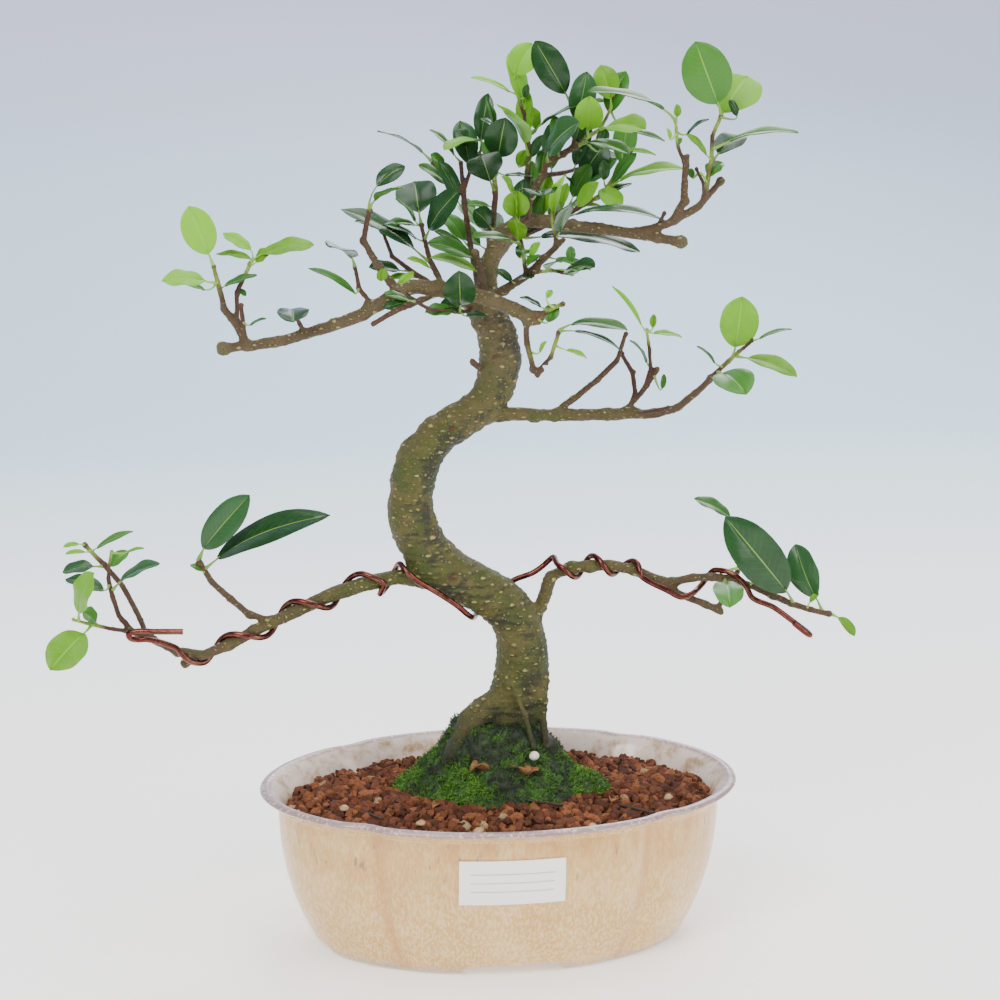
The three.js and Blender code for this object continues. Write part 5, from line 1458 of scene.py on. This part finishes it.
class LeafMaker:
    """One template leaf, warped along a stalk and a blade's middle line."""

    def __init__(self, sizes, along=26, across=12):
        self.sizes = sizes
        self.rng = np.random.default_rng(21)
        self.template = self.build(along, across)
        self.points = coordinates(self.template.data)
        part = np.empty(len(self.points))
        self.template.data.attributes["part"].data.foreach_get("value", part)
        self.is_stalk = part > 0.5
        self.pieces = {"bright": [], "mid": [], "dark": []}

    def outline(self, along):
        """Half width of a pointed, elliptic fig leaf."""
        return np.interp(along, [0, .02, .06, .12, .2, .3, .42, .55, .67, .78, .86, .92, .96, 1],
                         [.06, .17, .34, .54, .74, .90, 1, 1, .94, .81, .62, .43, .25, 0])

    def build(self, along, across):
        """Shapes a grid into a flat leaf one unit long, with a stalk, and thickens it."""
        deselect()
        bpy.ops.mesh.primitive_grid_add(x_subdivisions=along, y_subdivisions=across, size=1)
        blade = named(bpy.context.object, "leaf_template")
        points = coordinates(blade.data)
        u = points[:, 0] + 0.5
        v = points[:, 1] * 2
        u = u ** 1.05
        set_attribute(blade.data, "along", u)
        set_attribute(blade.data, "across", v)
        set_attribute(blade.data, "part", np.zeros(len(u)))
        set_coordinates(blade.data, np.column_stack([u, v, np.zeros(len(u))]))
        blade.data.materials.append(bpy.data.materials.new("top"))
        blade.data.materials.append(bpy.data.materials.new("under"))
        apply(blade, "SOLIDIFY", thickness=self.sizes.blade / MM, offset=0.0,
              material_offset=1, material_offset_rim=0)
        deselect()
        bpy.ops.mesh.primitive_cylinder_add(vertices=8, radius=1, depth=1, end_fill_type="NGON")
        stalk = named(bpy.context.object, "stalk_template")
        pick(stalk)
        bpy.ops.object.mode_set(mode="EDIT")
        bpy.ops.mesh.select_all(action="SELECT")
        bpy.ops.mesh.bisect(plane_co=(0, 0, 0), plane_no=(0, 0, 1))
        for level in (-0.35, -0.2, 0.2, 0.35):
            bpy.ops.mesh.select_all(action="SELECT")
            bpy.ops.mesh.bisect(plane_co=(0, 0, level), plane_no=(0, 0, 1))
        bpy.ops.object.mode_set(mode="OBJECT")
        spots = coordinates(stalk.data)
        set_attribute(stalk.data, "along", np.zeros(len(spots)))
        set_attribute(stalk.data, "across", np.zeros(len(spots)))
        set_attribute(stalk.data, "part", np.ones(len(spots)))
        set_coordinates(stalk.data, np.column_stack([spots[:, 2] + 0.5, spots[:, 0], spots[:, 1]]))
        stalk.data.materials.append(blade.data.materials[1])
        return join([blade, stalk], "leaf_template")

    def add(self, wood_spot, middles, half, up, age, stalk_radius=0.0006):
        """Warps one leaf. The blade follows middles; up is the waxy side."""
        rng = self.rng
        line = catmull(middles, 12)
        steps = np.concatenate([[0], np.cumsum(np.linalg.norm(np.diff(line, axis=0), axis=1))])
        steps /= steps[-1]
        points = self.points
        u, v, h = points[:, 0], points[:, 1], points[:, 2]
        made = np.empty_like(points)
        middle = np.column_stack([np.interp(u, steps, line[:, i]) for i in range(3)])
        ahead = np.column_stack([np.interp(np.clip(u + 0.02, 0, 1), steps, line[:, i])
                                 - np.interp(np.clip(u - 0.02, 0, 1), steps, line[:, i]) for i in range(3)])
        ahead /= np.linalg.norm(ahead, axis=1)[:, None] + 1e-12
        upward = np.array(up, dtype=float)
        side = np.cross(upward, ahead)
        side /= np.linalg.norm(side, axis=1)[:, None] + 1e-12
        rise = np.cross(ahead, side)
        lean = rng.uniform(-0.14, 0.14)
        turn = lean * (u - 0.3)
        side, rise = (side * np.cos(turn)[:, None] + rise * np.sin(turn)[:, None],
                      rise * np.cos(turn)[:, None] - side * np.sin(turn)[:, None])
        reach = self.outline(u) * half
        fold = rng.uniform(0.14, 0.3)
        wave = rng.uniform(0.03, 0.08) * half * np.sin(
            u * rng.uniform(9, 15) + np.sign(v) * rng.uniform(0.2, 1.4))
        quilt = 0.00012 * np.sin((u * 13 - np.abs(v) * 2.6) * math.tau) * np.abs(v) * (1 - np.abs(v))
        groove = -0.00035 * np.exp(-(v / 0.09) ** 2)
        height = (fold * reach * np.abs(v) ** 1.25 - 0.5 * fold * reach * v ** 4
                  + wave * v ** 2 + quilt + groove)
        swell = h * MM * np.clip(1.6 - u, 0.6, 1.3)
        blade = middle + side * (reach * v)[:, None] + rise * (height + swell)[:, None]
        # The stalk runs from the wood to the blade's base, with a slight bow.
        root, base = np.array(wood_spot), line[0]
        back = line[0] - line[min(6, len(line) - 1)]
        back /= np.linalg.norm(back) + 1e-12
        gap = np.linalg.norm(base - root)
        knee = base + back * gap * 0.45
        t = u[:, None]
        path = root * (1 - t) ** 2 + 2 * knee * t * (1 - t) + (base + (line[3] - line[0])) * t ** 2
        way = 2 * (1 - t) * (knee - root) + 2 * t * (base - knee)
        way /= np.linalg.norm(way, axis=1)[:, None] + 1e-12
        across = np.cross(way, upward)
        across /= np.linalg.norm(across, axis=1)[:, None] + 1e-12
        over = np.cross(across, way)
        thick = stalk_radius * (1.35 - 0.75 * np.sin(np.clip(u, 0, 1) * math.pi * 0.6))
        tube = path + across * (v * thick)[:, None] + over * (h * thick)[:, None]
        made = np.where(self.is_stalk[:, None], tube, blade)
        mesh = self.template.data.copy()
        set_coordinates(mesh, made)
        set_attribute(mesh, "tone", np.full(len(made), rng.uniform(0, 1)))
        leaf = bpy.data.objects.new("leaf", mesh)
        bpy.context.scene.collection.objects.link(leaf)
        self.pieces[age].append(leaf)

    def done(self, name, nodes):
        """Joins the leaves of each age and gives them their materials."""
        sizes = self.sizes
        # Leaves shine more as their wax thickens with age, and let less light through.
        gloss = {"bright": 0.44, "mid": 0.34, "dark": 0.26}
        glow = {"bright": 0.14, "mid": 0.1, "dark": 0.04}
        vein = {"bright": 0.3, "mid": 0.2, "dark": 0.12}
        for age, leaves in self.pieces.items():
            if not leaves:
                continue
            piece = join(leaves, f"{name}_{age}")
            pick(piece)
            tint = getattr(sizes, age)
            top = leaf_material(f"waxy_{name}_{age}_top", tint, sizes, gloss[age], glow[age], vein[age])
            under = under_leaf_material(f"matt_{name}_{age}_underside", tint, sizes)
            piece.data.materials.clear()
            piece.data.materials.append(top)
            piece.data.materials.append(under)
            smooth(piece, math.radians(60))
            finish_piece(piece, "leaf_" + age, *nodes.get(age, ()))
        bpy.data.objects.remove(self.template)


class BONSAI_OT_leaves(bpy.types.Operator):
    """Model each large leaf along its CAD solid"""
    bl_idname = "bonsai.leaves"
    bl_label = "Leaves"

    def execute(self, context):
        maker = LeafMaker(context.scene.bonsai_leaf)
        bark = surface_of(bpy.data.objects["fig_wood"])
        nodes = {"bright": [], "mid": [], "dark": []}
        for node, leaf in cad_leaves().items():
            root = leaf["stalk"][0]
            spot, normal, _, _ = bark.find_nearest(root)
            root = spot - normal * 0.0003
            middles = [leaf["stalk"][1]] + leaf["middles"]
            maker.add(root, middles, leaf["half"], leaf["lift"], leaf["age"])
            nodes[leaf["age"]].append(node)
        maker.done("leaves", nodes)
        return {"FINISHED"}


class BONSAI_OT_small_leaves(bpy.types.Operator):
    """Add the small leaves, shoots and buds along the twigs"""
    bl_idname = "bonsai.small_leaves"
    bl_label = "Small Leaves"

    def execute(self, context):
        maker = LeafMaker(context.scene.bonsai_leaf, along=18, across=8)
        bark = surface_of(bpy.data.objects["fig_wood"])
        rng = random.Random(8)
        for row in SMALL_LEAVES:
            wood_spot, base, tip = (plant(*row[i:i + 3]) for i in (0, 3, 6))
            spot, normal, _, _ = bark.find_nearest(wood_spot)
            run = tip - base
            # A leaf's waxy side faces up and outwards, towards the light.
            up = Vector((rng.uniform(-0.3, 0.3), rng.uniform(-0.8, -0.2), 1.0)).normalized()
            up = (up - run.normalized() * up.dot(run.normalized())).normalized()
            arch = up * run.length * rng.uniform(0.04, 0.12)
            middles = [base, base + run * 0.25 + arch * 0.7, base + run * 0.5 + arch,
                       base + run * 0.75 + arch * 0.7, tip]
            maker.add(spot - normal * 0.0003, middles, row[9] * MM / 2, up, row[10], 0.00042)
        self.fill_crown(maker, rng)
        maker.done("small_leaves", {})
        return {"FINISHED"}

    def fill_crown(self, maker, rng):
        """Fills the crown with leaves that stand out from its twigs on every side."""
        wood = bpy.data.objects["fig_wood"].data
        girth = np.empty(len(wood.vertices))
        wood.attributes["girth"].data.foreach_get("value", girth)
        points = coordinates(wood)
        low, high = plant(-30, -40, 186), plant(50, 60, 264)
        inside = ((points[:, 0] > low.x) & (points[:, 0] < high.x) & (points[:, 2] > low.z)
                  & (points[:, 2] < high.z) & (girth < 3.4))
        spots = np.flatnonzero(inside)
        middle = plant(8, 12, 205)
        taken = []
        for _ in range(900):
            if len(taken) >= 58:
                break
            index = int(spots[rng.randrange(len(spots))])
            root = Vector(points[index])
            if any((root - other).length < 0.0052 for other in taken):
                continue
            taken.append(root)
            out = (root - middle).normalized()
            way = out + Vector((rng.uniform(-.5, .5), rng.uniform(-.6, .4), rng.uniform(-.1, .8)))
            way.normalize()
            run = way * rng.uniform(0.009, 0.019)
            up = Vector((rng.uniform(-0.3, 0.3), rng.uniform(-0.9, -0.2), 1.0))
            up = (up - way * up.dot(way)).normalized()
            base = root + way * 0.003
            arch = up * run.length * 0.08
            age = rng.choice(("dark", "dark", "mid", "mid", "mid", "bright"))
            middles = [base, base + run * 0.25 + arch * 0.7, base + run * 0.5 + arch,
                       base + run * 0.75 + arch * 0.7, base + run]
            maker.add(root - wood.vertices[index].normal * 0.0003, middles,
                      run.length * rng.uniform(0.2, 0.29), up, age, 0.00042)


# ---------------------------------------------------------------- small things

class BONSAI_OT_details(bpy.types.Operator):
    """Finish the label, the drain screens, the pebble and the litter on the soil"""
    bl_idname = "bonsai.details"
    bl_label = "Label and Litter"

    def execute(self, context):
        self.label(context.scene.bonsai_label)
        self.screens()
        self.pebble()
        self.litter()
        return {"FINISHED"}

    def label(self, sizes):
        label = frame["nodes"]["label"]
        low, high = (Vector(c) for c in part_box("label"))
        material = label_material(sizes, low, high)
        for slot in label.material_slots:
            slot.material = material

    def screens(self):
        material = plain_material("moulded_polythene_mesh", (0.02, 0.02, 0.02), (0.05, 0.05, 0.05),
                                  0.0005, 0.5, 0.00002)
        for node in ("drain_screen_left", "drain_screen_right"):
            for slot in frame["nodes"][node].material_slots:
                slot.material = material

    def pebble(self):
        copy = cad_copy("white_pebble", "quartz_pebble")
        apply(copy, "SUBSURF", levels=2)
        points = coordinates(copy.data)
        middle = points.mean(axis=0)
        lumps = np.array([1.1 + 0.16 * noise.noise(Vector(p) * 500) for p in points])
        set_coordinates(copy.data, middle + (points - middle) * lumps[:, None])
        smooth(copy)
        wear(copy, plain_material("milky_quartz", linear("#e9e2d3")[:3], linear("#c9bda4")[:3],
                                  0.001, 0.4, 0.00005))
        finish_piece(copy, "pebble", "white_pebble")

    def litter(self):
        """Dead leaves, dry twigs and tan pebbles that lie on the soil and the moss."""
        ground = [surface_of(bpy.data.objects[name]) for name in ("soil_granules", "moss_cushions")]

        def drop(x, y):
            above = plant(x, y, 60)
            best = None
            for tree in ground:
                hit = tree.ray_cast(above, Vector((0, 0, -1)), 0.08)
                if hit[0] is not None and (best is None or hit[0].z > best.z):
                    best = hit[0]
            return best

        rng = random.Random(3)
        dead = []
        for x, y, size, turn in ((-7, -14, 11, 0.5), (9, -13, 13, 2.6), (-24, -24, 7, 4.0),
                                 (44, -18, 8, 1.2)):
            spot = drop(x, y)
            if spot is None:
                continue
            deselect()
            bpy.ops.mesh.primitive_grid_add(x_subdivisions=14, y_subdivisions=8, size=1)
            leaf = bpy.context.object
            points = coordinates(leaf.data)
            u, v = points[:, 0] + 0.5, points[:, 1] * 2
            wide = np.interp(u, [0, .1, .3, .5, .75, .9, 1], [.02, .5, .9, 1, .7, .3, .02])
            curl = 0.22 * v ** 2 * wide + 0.12 * np.sin(u * 5 + turn) + 0.05 * np.sin(v * 4 + u * 9)
            shape = np.column_stack([u - 0.5, v * wide * 0.24, curl]) * size * MM
            spin = np.array(Matrix.Rotation(turn, 3, "Z") @ Matrix.Rotation(rng.uniform(-0.3, 0.3), 3, "X"))
            set_coordinates(leaf.data, shape @ spin.T + np.array(spot) + (0, 0, 0.0006))
            apply(leaf, "SOLIDIFY", thickness=0.0002, offset=0)
            smooth(leaf)
            dead.append(leaf)
        leaves = join(dead, "dead_leaves")
        wear(leaves, plain_material("dry_fallen_leaf", linear("#8a5f35")[:3], linear("#4d2f1c")[:3],
                                    0.002, 0.7, 0.0001))
        finish_piece(leaves, "clay_granules")
        sticks = []
        for x, y, run, turn in ((52, -24, 16, 0.7), (28, -44, 12, 2.4), (-48, -30, 11, 1.1),
                                (17, -22, 15, 0.35), (-66, -14, 9, 2.0)):
            spot = drop(x, y)
            if spot is None:
                continue
            deselect()
            bpy.ops.mesh.primitive_cylinder_add(
                vertices=8, radius=0.55 * MM, depth=run * MM, location=(0, 0, 0))
            stick = bpy.context.object
            pick(stick)
            lean = math.pi / 2 - rng.uniform(-0.1, 0.1)
            bpy.ops.transform.rotate(value=lean, orient_axis="Y", center_override=(0, 0, 0))
            bpy.ops.transform.rotate(value=turn, orient_axis="Z", center_override=(0, 0, 0))
            stick.location = spot + Vector((0, 0, 0.0005))
            settle(stick)
            sticks.append(stick)
        twigs = join(sticks, "dry_twigs")
        smooth(twigs, math.radians(40))
        wear(twigs, plain_material("dry_fallen_twig", linear("#3f2b20")[:3], linear("#1f1611")[:3],
                                   0.001, 0.8, 0.0001))
        finish_piece(twigs, "clay_granules")
        stones = []
        for x, y, size in ((-8, -47, 4.6), (35, -40, 5.4), (56, -33, 4.8), (-60, -22, 4.2),
                           (66, -8, 4.0), (-30, -40, 3.8)):
            spot = drop(x, y)
            if spot is None:
                continue
            deselect()
            bpy.ops.mesh.primitive_ico_sphere_add(subdivisions=3, radius=0.5)
            stone = bpy.context.object
            points = coordinates(stone.data)
            shift = Vector((size * 3, 0, 0))
            lumps = np.array([1 + 0.4 * noise.noise(Vector(p) * 2.2 + shift) for p in points])
            spin = np.array(Matrix.Rotation(size * 5, 3, "Z"))
            shape = (points * lumps[:, None] * (1.0, 0.8, 0.6)) @ spin.T * size * MM
            set_coordinates(stone.data, shape + np.array(spot))
            smooth(stone)
            stones.append(stone)
        stones = join(stones, "tan_pebbles")
        wear(stones, plain_material("tan_river_pebble", linear("#b99a6d")[:3], linear("#8f7350")[:3],
                                    0.0015, 0.6, 0.00008))
        finish_piece(stones, "clay_granules")


# ---------------------------------------------------------------- panel and registration

OPERATORS = (BONSAI_OT_stage, BONSAI_OT_pot, BONSAI_OT_soil, BONSAI_OT_wood, BONSAI_OT_moss,
             BONSAI_OT_wire, BONSAI_OT_leaves, BONSAI_OT_small_leaves, BONSAI_OT_details)


class BONSAI_PT_panel(bpy.types.Panel):
    """Buttons for every piece of the bonsai"""
    bl_idname = "BONSAI_PT_panel"
    bl_label = "Bonsai"
    bl_space_type = "VIEW_3D"
    bl_region_type = "UI"
    bl_category = "Bonsai"

    def draw(self, context):
        for operator in OPERATORS:
            self.layout.operator(operator.bl_idname)


SETTINGS = {"bonsai_pot": BonsaiPotSettings, "bonsai_soil": BonsaiSoilSettings,
            "bonsai_moss": BonsaiMossSettings, "bonsai_wood": BonsaiWoodSettings,
            "bonsai_wire": BonsaiWireSettings, "bonsai_leaf": BonsaiLeafSettings,
            "bonsai_label": BonsaiLabelSettings, "bonsai_stage": BonsaiStageSettings}
CLASSES = (*SETTINGS.values(), *OPERATORS, BONSAI_PT_panel)


def register():
    for item in CLASSES:
        bpy.utils.register_class(item)
    for name, group in SETTINGS.items():
        setattr(bpy.types.Scene, name, bpy.props.PointerProperty(type=group))


def unregister():
    for name in SETTINGS:
        delattr(bpy.types.Scene, name)
    for item in reversed(CLASSES):
        bpy.utils.unregister_class(item)


def main():
    register()
    bpy.ops.bonsai.stage()
    bpy.ops.bonsai.pot()
    bpy.ops.bonsai.soil()
    bpy.ops.bonsai.wood()
    bpy.ops.bonsai.moss()
    bpy.ops.bonsai.wire()
    bpy.ops.bonsai.leaves()
    bpy.ops.bonsai.small_leaves()
    bpy.ops.bonsai.details()


if __name__ == "__main__":
    main()
